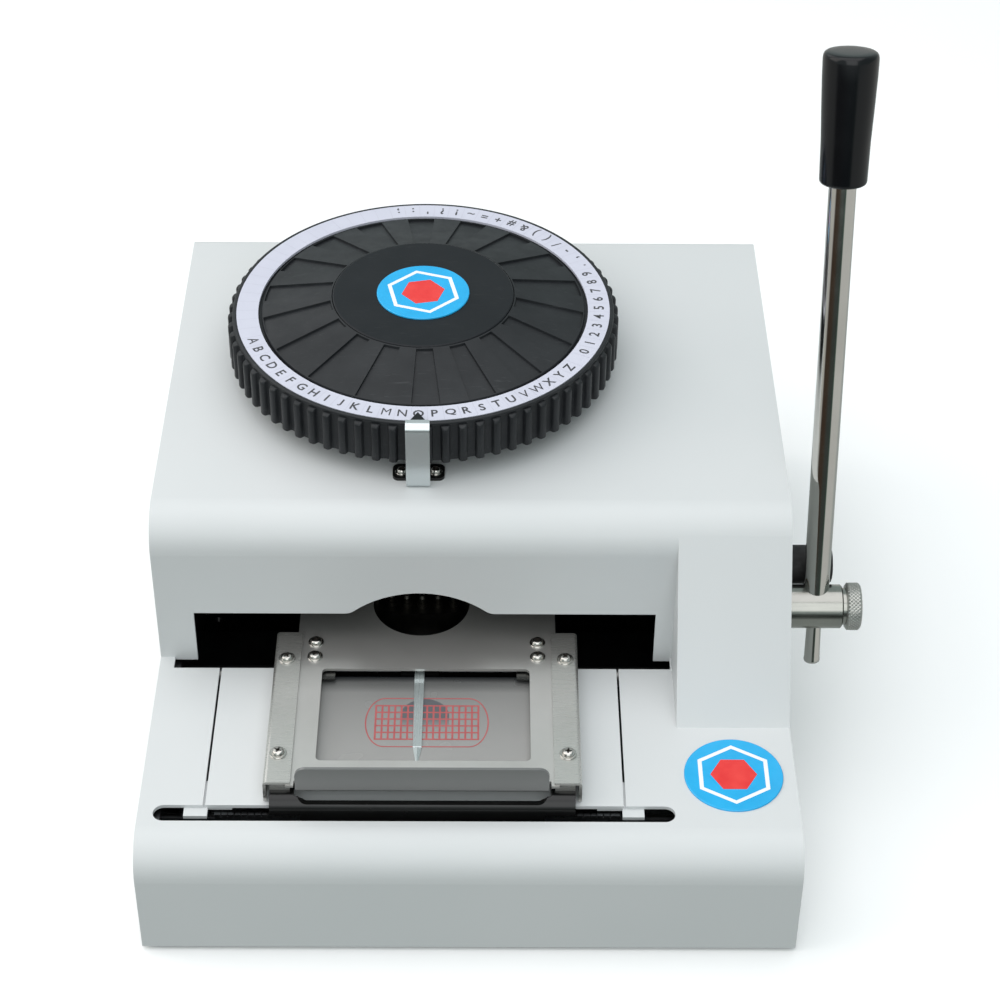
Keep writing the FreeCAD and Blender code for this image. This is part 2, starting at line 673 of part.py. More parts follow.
def build_deck_panel():
    """Panel between the slots; each ear's narrow nose shows in the front slot."""
    sheet = box(PANEL_X0, PANEL_X1, SLOT_Y1, BACK_SLOT_Y0, DECK_Z - SHEET, DECK_Z)
    z1 = DECK_Z - SHEET
    z0 = z1 - SHEET
    y0 = SLOT_Y1 - EAR_FRONT
    y1 = SLOT_Y1 + FREE
    y2 = SLOT_Y1 + EAR_BACK
    left = PANEL_X0 - EAR_REACH_L
    right = PANEL_X1 + EAR_REACH_R
    ears = [box(left, PANEL_X0 + SLIT, y0, y1, z0, z1), box(left, PANEL_X0 + EAR_LAP, y1, y2, z0, z1),
            box(PANEL_X1 - SLIT / 2, right, y0, y1, z0, z1), box(PANEL_X1 - EAR_LAP, right, y1, y2, z0, z1)]
    return join([sheet] + ears)


# ---------------------------------------------------------------- character wheel

SHAFT_Z0 = FLOOR_Z + 4.0 + RUN
SHAFT_Z1 = KNOB_TOP_Z - 4.1


def cell_points(radius):
    step = 2 * math.pi / CELLS
    for i in range(CELLS):
        a = i * step - math.pi / 2
        yield WHEEL_X + radius * math.cos(a), WHEEL_Y + radius * math.sin(a)


def pierced_disc(z0, z1, hole_r):
    centre = V(WHEEL_X, WHEEL_Y, z0)
    outer = Part.Wire([Part.makeCircle(DISC_R, centre)])
    holes = [Part.Wire([Part.makeCircle(SHAFT_R + SEAT, centre)])]
    for x, y in cell_points(CELL_R):
        holes.append(Part.Wire([Part.makeCircle(hole_r, V(x, y, z0))]))
    face = Part.makeFace([outer] + holes, "Part::FaceMakerBullseye")
    return face.extrude(V(0, 0, z1 - z0))


def pin_ring(tip, collar, seat, end):
    """One pin per character: tip, then a collar that seats on the disc, then the shank's end."""
    up = 1 if tip < end else -1
    pins = []
    for x, y in cell_points(CELL_R):
        tip_r = PUNCH_R * 0.65
        near, far = sorted((collar, seat), key=lambda z: abs(z - tip))
        profile = [(0, tip), (tip_r, tip), (PUNCH_R, tip + up * 1.2), (PUNCH_R, near)]
        profile += [(PUNCH_R + 0.85, near), (PUNCH_R + 0.85, far)]
        if abs(far - end) > 1e-6:
            profile += [(PUNCH_R, far), (PUNCH_R, end)]
        profile += [(0, end)]
        points = [V(r, 0, z) for r, z in profile]
        pin = Part.Face(Part.makePolygon(points + [points[0]])).revolve(V(0, 0, 0), V(0, 0, 1), 360)
        pin.translate(V(x, y, 0))
        pins.append(pin)
    return Part.makeCompound(pins)


RIM_R = KNOB_R - 2.0
SKIRT_R = KNOB_R - 2.3
RIM_H = 1.6
RIB_R = 1.7
CROWN_R0 = CAP_R + 0.3
CROWN_R1 = RING_R0 - RING_GROOVE
CROWN_Z0 = CAP_Z - 0.4
CROWN_Z1 = KNOB_TOP_Z - 0.1
SECTORS = 18
SECTOR_ANGLE = 10.0
SECTOR_START = -2.9
SECTOR_SINK = 1.0


def build_knob():
    """Dial knob: ribbed skirt, rim for the letter ring and a crown with sunk sectors."""
    under = KNOB_TOP_Z - 4.6
    ceiling = CAP_Z - CAP_T - 4.5
    foot = KNOB_FOOT_Z - 5.0
    rib_h = KNOB_H - RIM_H
    outline = [
        (SHAFT_R + SEAT, foot), (SHAFT_R * 2, foot), (SHAFT_R * 2, ceiling),
        (CROWN_R0, ceiling), (RING_R0 - 2, under), (SKIRT_R - 3, under), (SKIRT_R - 3, KNOB_FOOT_Z),
        (SKIRT_R, KNOB_FOOT_Z), (SKIRT_R, KNOB_TOP_Z - RIM_H), (RIM_R, KNOB_TOP_Z - RIM_H),
        (RIM_R, KNOB_TOP_Z - 0.5), (RIM_R - 0.5, KNOB_TOP_Z),
        (RING_R1, KNOB_TOP_Z), (RING_R1, KNOB_TOP_Z - 1.0), (RING_R0, KNOB_TOP_Z - 1.0),
        (RING_R0, KNOB_TOP_Z - 1.6), (CROWN_R1, KNOB_TOP_Z - 1.6), (CROWN_R1, CROWN_Z1),
        (CROWN_R0, CROWN_Z0),
        (CROWN_R0, CAP_Z - CAP_T), (0, CAP_Z - CAP_T), (0, SHAFT_Z1), (SHAFT_R + SEAT, SHAFT_Z1),
    ]
    wire = Part.makePolygon([V(r, 0, z) for r, z in outline] + [V(outline[0][0], 0, outline[0][1])])
    knob = Part.Face(wire).revolve(V(0, 0, 0), V(0, 0, 1), 360)
    ribs = []
    for i in range(CELLS):
        nose_x = KNOB_R - RIB_R
        rib = box(SKIRT_R - 1.5, nose_x, -RIB_R, RIB_R, KNOB_FOOT_Z, KNOB_FOOT_Z + rib_h)
        rib = rib.fuse(rod(RIB_R, nose_x, 0, KNOB_FOOT_Z, rib_h)).removeSplitter()
        rib.rotate(V(0, 0, 0), V(0, 0, 1), (i + 0.5) * 360.0 / CELLS - 90)
        ribs.append(rib)
    knob = knob.multiFuse(ribs)
    r0 = CROWN_R0 + 0.6
    r1 = CROWN_R1 - 0.6
    slope = (CROWN_Z0 - CROWN_Z1) / (CROWN_R1 - CROWN_R0)

    def crown_z(r):
        return CROWN_Z0 - slope * (r - CROWN_R0)

    floor = [V(r0, 0, crown_z(r0) - SECTOR_SINK), V(r1, 0, crown_z(r1) - SECTOR_SINK)]
    roof = [V(r1, 0, crown_z(r1) + 1), V(r0, 0, crown_z(r0) + 1)]
    section = Part.Face(Part.makePolygon(floor + roof + floor[:1]))
    cutters = []
    for i in range(SECTORS):
        cutter = section.revolve(V(0, 0, 0), V(0, 0, 1), SECTOR_ANGLE)
        cutter.rotate(V(0, 0, 0), V(0, 0, 1), i * 360.0 / SECTORS + SECTOR_START - 90)
        cutters.append(cutter)
    knob = knob.cut(cutters)
    knob.translate(V(WHEEL_X, WHEEL_Y, 0))
    return knob


def build_wheel():
    x, y = WHEEL_X, WHEEL_Y
    shaft = rod(SHAFT_R, x, y, SHAFT_Z0, SHAFT_Z1 - SHAFT_Z0)
    parts["wheel_shaft"] = shaft
    parts["knob"] = build_knob()
    parts["letter_ring"] = tube(RING_R1 - 0.2, RING_R0 + 0.2, x, y, KNOB_TOP_Z - 1.0, 1.1)
    cap = rod(CAP_R, x, y, CAP_Z - CAP_T, CAP_T)
    top = [e for e in cap.Edges if e.Closed and e.CenterOfMass.z > CAP_Z - 0.1]
    parts["centre_cover"] = cap.makeFillet(0.6, top)
    parts["wheel_badge"] = badge(x, y, CAP_Z)
    parts["type_disc"] = pierced_disc(UPPER_DISC_Z0, UPPER_DISC_Z1, PUNCH_R + RUN)
    punch_end = UPPER_DISC_Z1 + PUNCH_HEAD
    parts["type_punches"] = pin_ring(PUNCH_TIP_Z, punch_end, UPPER_DISC_Z1, punch_end)
    parts["die_disc"] = pierced_disc(LOWER_DISC_Z0, LOWER_DISC_Z1, PUNCH_R + RUN)
    die_end = LOWER_DISC_Z0 - DIE_SHANK
    parts["type_dies"] = pin_ring(DIE_TOP_Z, LOWER_DISC_Z1 + 2, LOWER_DISC_Z1, die_end)
    spacer_r = SHAFT_R + 5
    between = tube(spacer_r, SHAFT_R + SEAT, x, y, LOWER_DISC_Z1, UPPER_DISC_Z0 - LOWER_DISC_Z1)
    above = tube(spacer_r, SHAFT_R + SEAT, x, y, UPPER_DISC_Z1, PLATE_Z0 - 0.4 - UPPER_DISC_Z1)
    parts["disc_spacers"] = Part.makeCompound([between, above])
    nut_r = SHAFT_R + 5.7
    corners = [math.pi / 3 * i for i in range(6)]
    nut = [(nut_r * math.cos(a) + x, nut_r * math.sin(a) + y) for a in corners]
    nut = slab(nut, [0] * 6, on_xy(LOWER_DISC_Z0 - 8), V(0, 0, 8))
    parts["disc_nut"] = nut.cut(rod(SHAFT_R + SEAT, x, y, LOWER_DISC_Z0 - 9, 10))
    lower = rod(SHAFT_R + 13, x, y, FLOOR_Z, LOWER_DISC_Z0 - 10 - FLOOR_Z)
    lower = lower.cut(rod(SHAFT_R + RUN, x, y, FLOOR_Z + 4, LOWER_DISC_Z0))
    upper = tube(BEARING_R, SHAFT_R + RUN, x, y, PLATE_Z0, HEAD_T + 4)
    collar = tube(COLLAR_R, SHAFT_R + RUN, x, y, TOP_Z, COLLAR_T)
    collar = collar.fuse(tube(SHAFT_R + COLLAR_WALL, SHAFT_R + RUN, x, y, TOP_Z - SHEET - 2, 4))
    parts["shaft_bearings"] = Part.makeCompound([lower, upper, collar.removeSplitter()])


def badge(x, y, z):
    disc = rod(BADGE_R, x, y, z, BADGE_T)
    top = [e for e in disc.Edges if e.Closed and e.CenterOfMass.z > z + BADGE_T / 2]
    return disc.makeFillet(0.4, top)


# ---------------------------------------------------------------- dial pointer

STRIP_W = 9.4
STRIP_T = 1.4
STRIP_GAP = 1.9
STRIP_OFFSET = -0.5
POINTER_H = 2.4
STRIP_FOOT = 11.6
STRIP_REACH = 4.6
TIP_HALF = 3.9
TIP_REACH = 6.8
TIP_T = 0.6
TIP_LAP = 1.4
BASE_HALF = 10.3
BASE_FRONT = 4.6
BASE_BACK = 13.6
BASE_CORNER_R = 2.5
BASE_SCREW_SIDE = 6.7
BASE_SCREW_BACK = 8.7
STRIP_X = PRESS_X + STRIP_OFFSET
STRIP_X0 = STRIP_X - STRIP_W / 2
STRIP_X1 = STRIP_X + STRIP_W / 2
STRIP_Y = WHEEL_Y - KNOB_R - STRIP_GAP - STRIP_T
STRIP_TOP_Z = KNOB_TOP_Z + POINTER_H


def build_pointer():
    foot = STRIP_Y + STRIP_FOOT
    y = STRIP_Y + STRIP_REACH
    path = [(foot, TOP_Z), (STRIP_Y, TOP_Z), (STRIP_Y, STRIP_TOP_Z), (y, STRIP_TOP_Z)]
    strip = bent_sheet(path, [0, 2.0, 3.0, 0], STRIP_T, on_yz(STRIP_X0), V(STRIP_X1 - STRIP_X0, 0, 0))
    parts["pointer_strip"] = strip
    z = STRIP_TOP_Z - STRIP_T - TIP_T
    left = STRIP_X - TIP_HALF
    right = STRIP_X + TIP_HALF
    tip = [(left, y - TIP_LAP), (right, y - TIP_LAP), (right, y), (STRIP_X, y + TIP_REACH), (left, y)]
    parts["pointer_tip"] = slab(tip, [0] * 5, on_xy(z), V(0, 0, TIP_T))
    y0 = STRIP_Y + BASE_FRONT
    y1 = STRIP_Y + BASE_BACK
    outline = rect(STRIP_X - BASE_HALF, STRIP_X + BASE_HALF, y0, y1)
    block = slab(outline, [BASE_CORNER_R] * 4, on_xy(TOP_Z), V(0, 0, STRIP_T))
    bay = box(STRIP_X0 - SEAT, STRIP_X1 + SEAT, y0 - 1, foot + SEAT, TOP_Z - 1, TOP_Z + STRIP_T + 1)
    block = block.cut(bay)
    y = STRIP_Y + BASE_SCREW_BACK
    spots = [(STRIP_X + side * BASE_SCREW_SIDE, y, TOP_Z + STRIP_T) for side in (-1, 1)]
    screws = []
    for x, y, z in spots:
        block = block.cut(rod(SMALL_SCREW[0] + RUN, x, y, TOP_Z - 1, 6))
        screws.append(pan_screw(x, y, z, SMALL_SCREW, STRIP_T + SHEET + 0.5))
        parts["top_cover"] = parts["top_cover"].cut(rod(SMALL_SCREW[0] + RUN, x, y, TOP_Z - 5, 10))
    parts["pointer_base"] = block
    return screws


# ---------------------------------------------------------------- press

CAM_POINTS = 96


def build_cam():
    """Cam with equal lift per degree against the ram's flat head."""
    rise_from = 0.0
    rise_to = math.radians(70)
    blend = math.radians(60)

    def support(a):
        a = (a + math.pi) % (2 * math.pi) - math.pi
        start = -math.radians(14)
        if start <= a <= rise_to:
            return CAM_R + CAM_RISE_PER_RAD * (a - rise_from), CAM_RISE_PER_RAD
        low = CAM_R + CAM_RISE_PER_RAD * (start - rise_from)
        high = CAM_R + CAM_RISE_PER_RAD * (rise_to - rise_from)
        span = 2 * math.pi - (rise_to - start)
        s = ((a - rise_to) % (2 * math.pi)) / span
        m = CAM_RISE_PER_RAD * span
        h = ((2 * s ** 3 - 3 * s ** 2 + 1) * high + (s ** 3 - 2 * s ** 2 + s) * m
             + (-2 * s ** 3 + 3 * s ** 2) * low + (s ** 3 - s ** 2) * m)
        dh = ((6 * s ** 2 - 6 * s) * high + (3 * s ** 2 - 4 * s + 1) * m
              + (-6 * s ** 2 + 6 * s) * low + (3 * s ** 2 - 2 * s) * m) / span
        return h, dh

    points = []
    for i in range(CAM_POINTS):
        a = 2 * math.pi * i / CAM_POINTS
        h, dh = support(a)
        # a is the profile angle that faces the ram after the shaft turned by a
        n = -math.pi / 2 - a
        y = h * math.cos(n) + dh * math.sin(n)
        z = h * math.sin(n) - dh * math.cos(n)
        points.append(V(0, y, z))
    curve = Part.BSplineCurve()
    curve.interpolate(points, PeriodicFlag=True)
    face = Part.Face(Part.Wire([curve.toShape()]))
    cam = face.extrude(V(9, 0, 0))
    cam.translate(V(PRESS_X - 4.5, PRESS_Y, CAM_Z))
    return cam.cut(rod(CAM_SHAFT_R + SEAT, PRESS_X - 10, PRESS_Y, CAM_Z, 20, V(1, 0, 0)))


def crank(x, y, z, bore_r, hub_r):
    """Arm from a shaft to its pin, in the linkage plane."""
    a = math.radians(CRANK_ANGLE)
    py = y + CRANK_R * math.cos(a)
    pz = z + CRANK_R * math.sin(a)
    axis = V(1, 0, 0)
    ny = -math.sin(a) * ARM_W / 2
    nz = math.cos(a) * ARM_W / 2
    arm = Part.makePolygon([V(x, y + ny, z + nz), V(x, py + ny, pz + nz), V(x, py - ny, pz - nz),
                            V(x, y - ny, z - nz), V(x, y + ny, z + nz)])
    t = CRANK_T
    arm = Part.Face(arm).extrude(V(t, 0, 0))
    body = join([arm, rod(hub_r, x, y, z, t, axis), rod(ARM_W / 2, x, py, pz, t, axis)])
    body = body.cut(rod(bore_r, x - 1, y, z, t + 2, axis))
    pin = rod(PIN_R, x, py, pz, t + LINK_T + 2, axis).fuse(rod(PIN_R + 1.5, x, py, pz, t + 0.3, axis))
    return body.fuse(pin).removeSplitter(), py, pz


CRANK_X = CHEEK_RX + 16.0
LINK_X = CRANK_X + CRANK_T + 0.4
BLOCK_X = RAM_HEAD_R + 3.0
BLOCK_T = 8.0
BEARING_X = ((PRESS_X - BLOCK_X - BLOCK_T, PRESS_X - BLOCK_X),
             (PRESS_X + BLOCK_X, PRESS_X + BLOCK_X + BLOCK_T),
             (CHEEK_RX - BLOCK_T - 10, CHEEK_RX - BLOCK_T))


def build_press():
    cam_crank, by, bz = crank(CRANK_X, PRESS_Y, CAM_Z, CAM_SHAFT_R - 1, CAM_SHAFT_R + 3)
    start = BEARING_X[0][0] - 1
    shaft = rod(CAM_SHAFT_R, start, PRESS_Y, CAM_Z, CRANK_X + 2 - start, V(1, 0, 0))
    parts["cam_shaft"] = join([shaft, cam_crank])
    parts["press_cam"] = build_cam()
    blocks = []
    for x0, x1 in BEARING_X:
        top = CAM_Z + CAM_SHAFT_R + 4
        outline = [(PRESS_Y - 11, PLATE_Z1), (PRESS_Y + 11, PLATE_Z1)]
        outline += [(PRESS_Y + 9, top), (PRESS_Y - 9, top)]
        block = slab(outline, [0, 0, 8, 8], on_yz(x0), V(x1 - x0, 0, 0))
        blocks.append(block.cut(rod(CAM_SHAFT_R + RUN, x0 - 1, PRESS_Y, CAM_Z, x1 - x0 + 2, V(1, 0, 0))))
    parts["cam_bearings"] = Part.makeCompound(blocks)
    ram = rod(RAM_R, PRESS_X, PRESS_Y, RAM_Z0, RAM_TOP_Z - RAM_Z0)
    head = rod(RAM_HEAD_R, PRESS_X, PRESS_Y, RAM_TOP_Z - RAM_HEAD_T, RAM_HEAD_T)
    ram = ram.fuse(head).removeSplitter()
    parts["press_ram"] = ram
    parts["ram_spring"] = build_spring()
    lever_crank, ay, az = crank(CRANK_X, LEVER_Y, LEVER_Z, SHAFT_IN_R + SEAT, SHAFT_IN_R + 5)
    parts["lever_crank"] = lever_crank
    dy = by - ay
    dz = bz - az
    length = math.hypot(dy, dz)
    ny = -dz / length * ARM_W / 2
    nz = dy / length * ARM_W / 2
    bar = Part.makePolygon([V(LINK_X, ay + ny, az + nz), V(LINK_X, by + ny, bz + nz),
                            V(LINK_X, by - ny, bz - nz), V(LINK_X, ay - ny, az - nz),
                            V(LINK_X, ay + ny, az + nz)])
    bar = Part.Face(bar).extrude(V(LINK_T, 0, 0))
    ends = [rod(PIN_R + 4, LINK_X, y, z, LINK_T, V(1, 0, 0)) for y, z in ((ay, az), (by, bz))]
    bar = join([bar] + ends)
    for y, z in ((ay, az), (by, bz)):
        bar = bar.cut(rod(PIN_R + RUN, LINK_X - 1, y, z, LINK_T + 2, V(1, 0, 0)))
    parts["press_link"] = bar


def build_spring():
    """Return spring round the ram boss, between head plate and ram head."""
    wire_r = SPRING_WIRE_R
    coil_r = RAM_R + 2 + wire_r + FREE
    free = SPRING_H
    turns = 2.5
    pitch = (free - 2 * wire_r) / turns
    helix = Part.makeHelix(pitch, free - 2 * wire_r, coil_r)
    profile = Part.Wire([Part.makeCircle(wire_r, V(coil_r, 0, 0), V(0, 1, 0))])
    coil = Part.Wire(helix).makePipeShell([profile], True, True)
    coil.translate(V(PRESS_X, PRESS_Y, PLATE_Z1 + wire_r))
    return coil


# ---------------------------------------------------------------- lever

def lever_dir():
    a = math.radians(LEVER_LEAN)
    return V(0, math.sin(a), math.cos(a))


# Grip profile: radius and distance from the grip's foot, and from its head
GRIP_FOOT = ((7.6, 0.0), (8.6, 0.5), (9.0, 1.6), (9.3, 16.2))
GRIP_HEAD = ((9.95, 19.2), (10.3, 9.2), (10.4, 3.0), (10.1, 1.2), (9.3, 0.35), (8.0, 0.1), (0.0, 0.0))


def build_lever():
    ax = V(1, 0, 0)
    d = lever_dir()
    inner = rod(SHAFT_IN_R, CHEEK_RX - 2, LEVER_Y, LEVER_Z, HUB_X0 - CHEEK_RX + 3, ax)
    hub = Part.makeCylinder(HUB_R, HUB_L, V(HUB_X0, LEVER_Y, LEVER_Z), ax)
    rims = [e for e in hub.Edges if e.Closed]
    hub = hub.makeChamfer(0.6, rims)
    stud = rod(STUD_R, HUB_X1 - 1, LEVER_Y, LEVER_Z, NUT_X1 - HUB_X1 + 0.4, ax)
    neck = rod(NECK_R, HUB_X1 - 1, LEVER_Y, LEVER_Z, NUT_X0 - HUB_X1 + 1, ax)
    shaft = join([inner, hub, stud, neck])
    at = V(ROD_X, LEVER_Y, LEVER_Z)
    shaft = shaft.cut(Part.makeCylinder(ROD_R + SEAT, 20, at - d * 4, d))
    shaft = shaft.cut(Part.makeCylinder(STUB_R + SEAT, 20, at - d * 20, d))
    parts["lever_shaft"] = shaft
    socket = ROD_L + SOCKET_L
    spin = [(0, -STUB_L), (STUB_END_R - 1.1, -STUB_L), (STUB_END_R - 0.2, 0.5 - STUB_L),
            (STUB_END_R, 1.5 - STUB_L), (STUB_R, -HUB_R - 0.8), (STUB_R, -4), (ROD_R, -4),
            (ROD_R, ROD_L), (SOCKET_R, ROD_L), (SOCKET_R, socket), (0, socket)]
    parts["lever_rod"] = spun(spin, at, d)
    grip = [(SOCKET_R + SEAT, ROD_L)]
    grip += [(r, ROD_L + t) for r, t in GRIP_FOOT]
    grip += [(r, LEVER_L - t) for r, t in GRIP_HEAD]
    grip += [(0, socket), (SOCKET_R + SEAT, socket)]
    parts["lever_grip"] = spun(grip, at, d)
    nut = rod(NUT_R, NUT_X0, LEVER_Y, LEVER_Z, NUT_L, ax)
    nut = nut.makeChamfer(1.0, [e for e in nut.Edges if e.Closed])
    cutters = []
    for i in range(40):
        a = 2 * math.pi * i / 40
        y = LEVER_Y + (NUT_R + 0.2) * math.cos(a)
        z = LEVER_Z + (NUT_R + 0.2) * math.sin(a)
        cutters.append(rod(0.45, NUT_X0 - 1, y, z, NUT_L + 2, ax))
    nut = nut.cut(cutters)
    parts["thumb_nut"] = nut.cut(rod(STUD_R + SEAT, NUT_X0 - 1, LEVER_Y, LEVER_Z, 10, ax))
    a = math.radians(LEVER_LEAN)
    aside = ROD_R + BUMPER_R + 0.2
    by = LEVER_Y + BUMPER_ALONG * math.sin(a) + aside * math.cos(a)
    bz = LEVER_Z + BUMPER_ALONG * math.cos(a) - aside * math.sin(a)
    bumper = rod(BUMPER_R, HALF, by, bz, BUMPER_L, ax)
    end = [e for e in bumper.Edges if e.Closed and e.CenterOfMass.x > HALF + 10]
    parts["lever_bumper"] = bumper.makeFillet(2.0, end)
    outer = tube(BUSH_R, SHAFT_IN_R + RUN, HALF - 9, LEVER_Y, LEVER_Z, 9.0, ax)
    flange = tube(BUSH_R + 3, SHAFT_IN_R + RUN, HALF - 9, LEVER_Y, LEVER_Z, 9 - SHEET, ax)
    inner = tube(BUSH_R, SHAFT_IN_R + RUN, CHEEK_RX - 2, LEVER_Y, LEVER_Z, 10.0, ax)
    lip = tube(BUSH_R + 3, SHAFT_IN_R + RUN, CHEEK_RX + CHEEK_T, LEVER_Y, LEVER_Z, 4.0, ax)
    bushes = [outer.fuse(flange).removeSplitter(), inner.fuse(lip).removeSplitter()]
    parts["lever_bushes"] = Part.makeCompound(bushes)


def spun(profile, at, d):
    """Turned piece: radius and distance along the axis d from the point at."""
    points = [V(r, 0, t) for r, t in profile]
    body = Part.Face(Part.makePolygon(points + [points[0]])).revolve(V(0, 0, 0), V(0, 0, 1), 360)
    body.Placement = FreeCAD.Placement(at, FreeCAD.Rotation(V(0, 0, 1), d))
    return body


# ---------------------------------------------------------------- card carriage

SCREW_Y0 = GUIDE_Y0 + 15.3
SCREW_Y1 = GUIDE_Y1 - 15.4
GUIDE_X = CAR_W / 2 + GUIDE_T
CUT_CORNER_R = 4.5
FOOT_CUT_Z = DECK_Z - SHEET + 0.3
JAW_W = 10.8
JAW_PAD = 19.0
CLAMP_X = PLATE_W / 2 - 7.3
GUIDE_SCREWS = [(CAR_X + side * (GUIDE_X - 5.0), y) for side in (-1, 1) for y in (SCREW_Y0, SCREW_Y1)]
CLAMP_Y = (WINDOW_Y1 + 6.9, WINDOW_Y1 + 15.2)
CLAMP_SCREWS = [(CAR_X + side * CLAMP_X, y) for side in (-1, 1) for y in CLAMP_Y]


def centred(half_width, y0, y1, z0, z1):
    return box(CAR_X - half_width, CAR_X + half_width, y0, y1, z0, z1)


def build_carriage():
    t = BRIDGE_T
    low = BRIDGE_TOP_Z - LEG_DROP
    outline = [(LEG_Y, low), (LEG_Y, BRIDGE_TOP_Z), (REAR_LEG_Y + t, BRIDGE_TOP_Z), (REAR_LEG_Y + t, low)]
    left = CAR_X - BRACKET_HALF
    right = CAR_X + BRACKET_HALF
    bends = [0, LEG_BEND, REAR_LEG_BEND, 0]
    bracket = bent_sheet(outline, bends, t, on_yz(left), V(right - left, 0, 0))
    for x in (left - 1, right - FOOT_CUT):
        bracket = bracket.cut(box(x, x + FOOT_CUT + 1, LEG_Y - 1, LEG_Y + t + 1, low - 1, FOOT_CUT_Z))
    cut_z = BRIDGE_TOP_Z - CUT_H
    inside = rect(CAR_X - CUT_W / 2, CAR_X + CUT_W / 2, cut_z, BRIDGE_TOP_Z + 12)
    bracket = bracket.cut(slab(inside, [CUT_CORNER_R] * 2 + [0, 0], on_xz(LEG_Y - 1), V(0, 8, 0)))
    bracket = bracket.cut(centred(CUT_W / 2 + 0.5, LEG_Y + 4, REAR_LEG_Y - 2, cut_z - 1, BRIDGE_TOP_Z + 2))
    blocks = []
    rows = ((LEG_Y + t, FRONT_ROD_Y + 6, FRONT_ROD_Y), (REAR_LEG_Y + t, REAR_ROD_Y + 7, REAR_ROD_Y))
    for y0, y1, yc in rows:
        for x0 in (left + FOOT_CUT + 0.5, right - FOOT_CUT - 0.5 - BLOCK_L):
            x1 = x0 + BLOCK_L
            block = box(x0, x1, y0, y1, ROD_Z - SLIDE_ROD_R - 2.5, ROD_Z + SLIDE_ROD_R + 1.4)
            blocks.append(block.cut(rod(SLIDE_ROD_R + RUN, x0 - 1, yc, ROD_Z, x1 - x0 + 2, V(1, 0, 0))))
    ledge_z = PLATE_BOTTOM_Z - 2 * RUN
    rail_z = GUIDE_TOP_Z - GUIDE_T
    spacers = []
    guides = []
    for side in (-1, 1):
        outer = CAR_X + side * BRACKET_HALF
        wall = CAR_X + side * (PLATE_W / 2 + 0.8)
        ledge = CAR_X + side * (PLATE_W / 2 - 1.5)
        y0 = GUIDE_Y0 + 1
        y1 = GUIDE_Y1 - 10
        base = box(min(outer, ledge), max(outer, ledge), y0, y1, BRIDGE_TOP_Z, ledge_z)
        rail = box(min(outer, wall), max(outer, wall), y0, y1, BRIDGE_TOP_Z, rail_z)
        spacers.append(base.fuse(rail).removeSplitter())
        edge = CAR_X + side * GUIDE_X
        inner = edge - side * GUIDE_W
        drop = GUIDE_TOP_Z - GUIDE_DROP
        if side < 0:
            path = [(edge, drop), (edge, GUIDE_TOP_Z), (inner, GUIDE_TOP_Z)]
        else:
            path = [(inner, GUIDE_TOP_Z), (edge, GUIDE_TOP_Z), (edge, drop)]
        along = V(0, GUIDE_Y1 - GUIDE_Y0, 0)
        guides.append(bent_sheet(path, [0, GUIDE_T + 0.4, 0], GUIDE_T, on_xz(GUIDE_Y0), along))
    screws = []
    for x, y in GUIDE_SCREWS:
        hole = rod(GUIDE_SCREW[0] + RUN, x, y, BRIDGE_TOP_Z - 3, GUIDE_TOP_Z - BRIDGE_TOP_Z + 5)
        guides = [g.cut(hole) for g in guides]
        spacers = [sp.cut(hole) for sp in spacers]
        bracket = bracket.cut(hole)
        screws.append(pan_screw(x, y, GUIDE_TOP_Z, GUIDE_SCREW, GUIDE_TOP_Z - BRIDGE_TOP_Z + 1))
    parts["carriage_bracket"] = bracket
    parts["slide_blocks"] = Part.makeCompound(blocks)
    parts["side_guides"] = Part.makeCompound(guides)
    parts["guide_spacers"] = Part.makeCompound(spacers)
    parts["guide_screws"] = Part.makeCompound(screws)


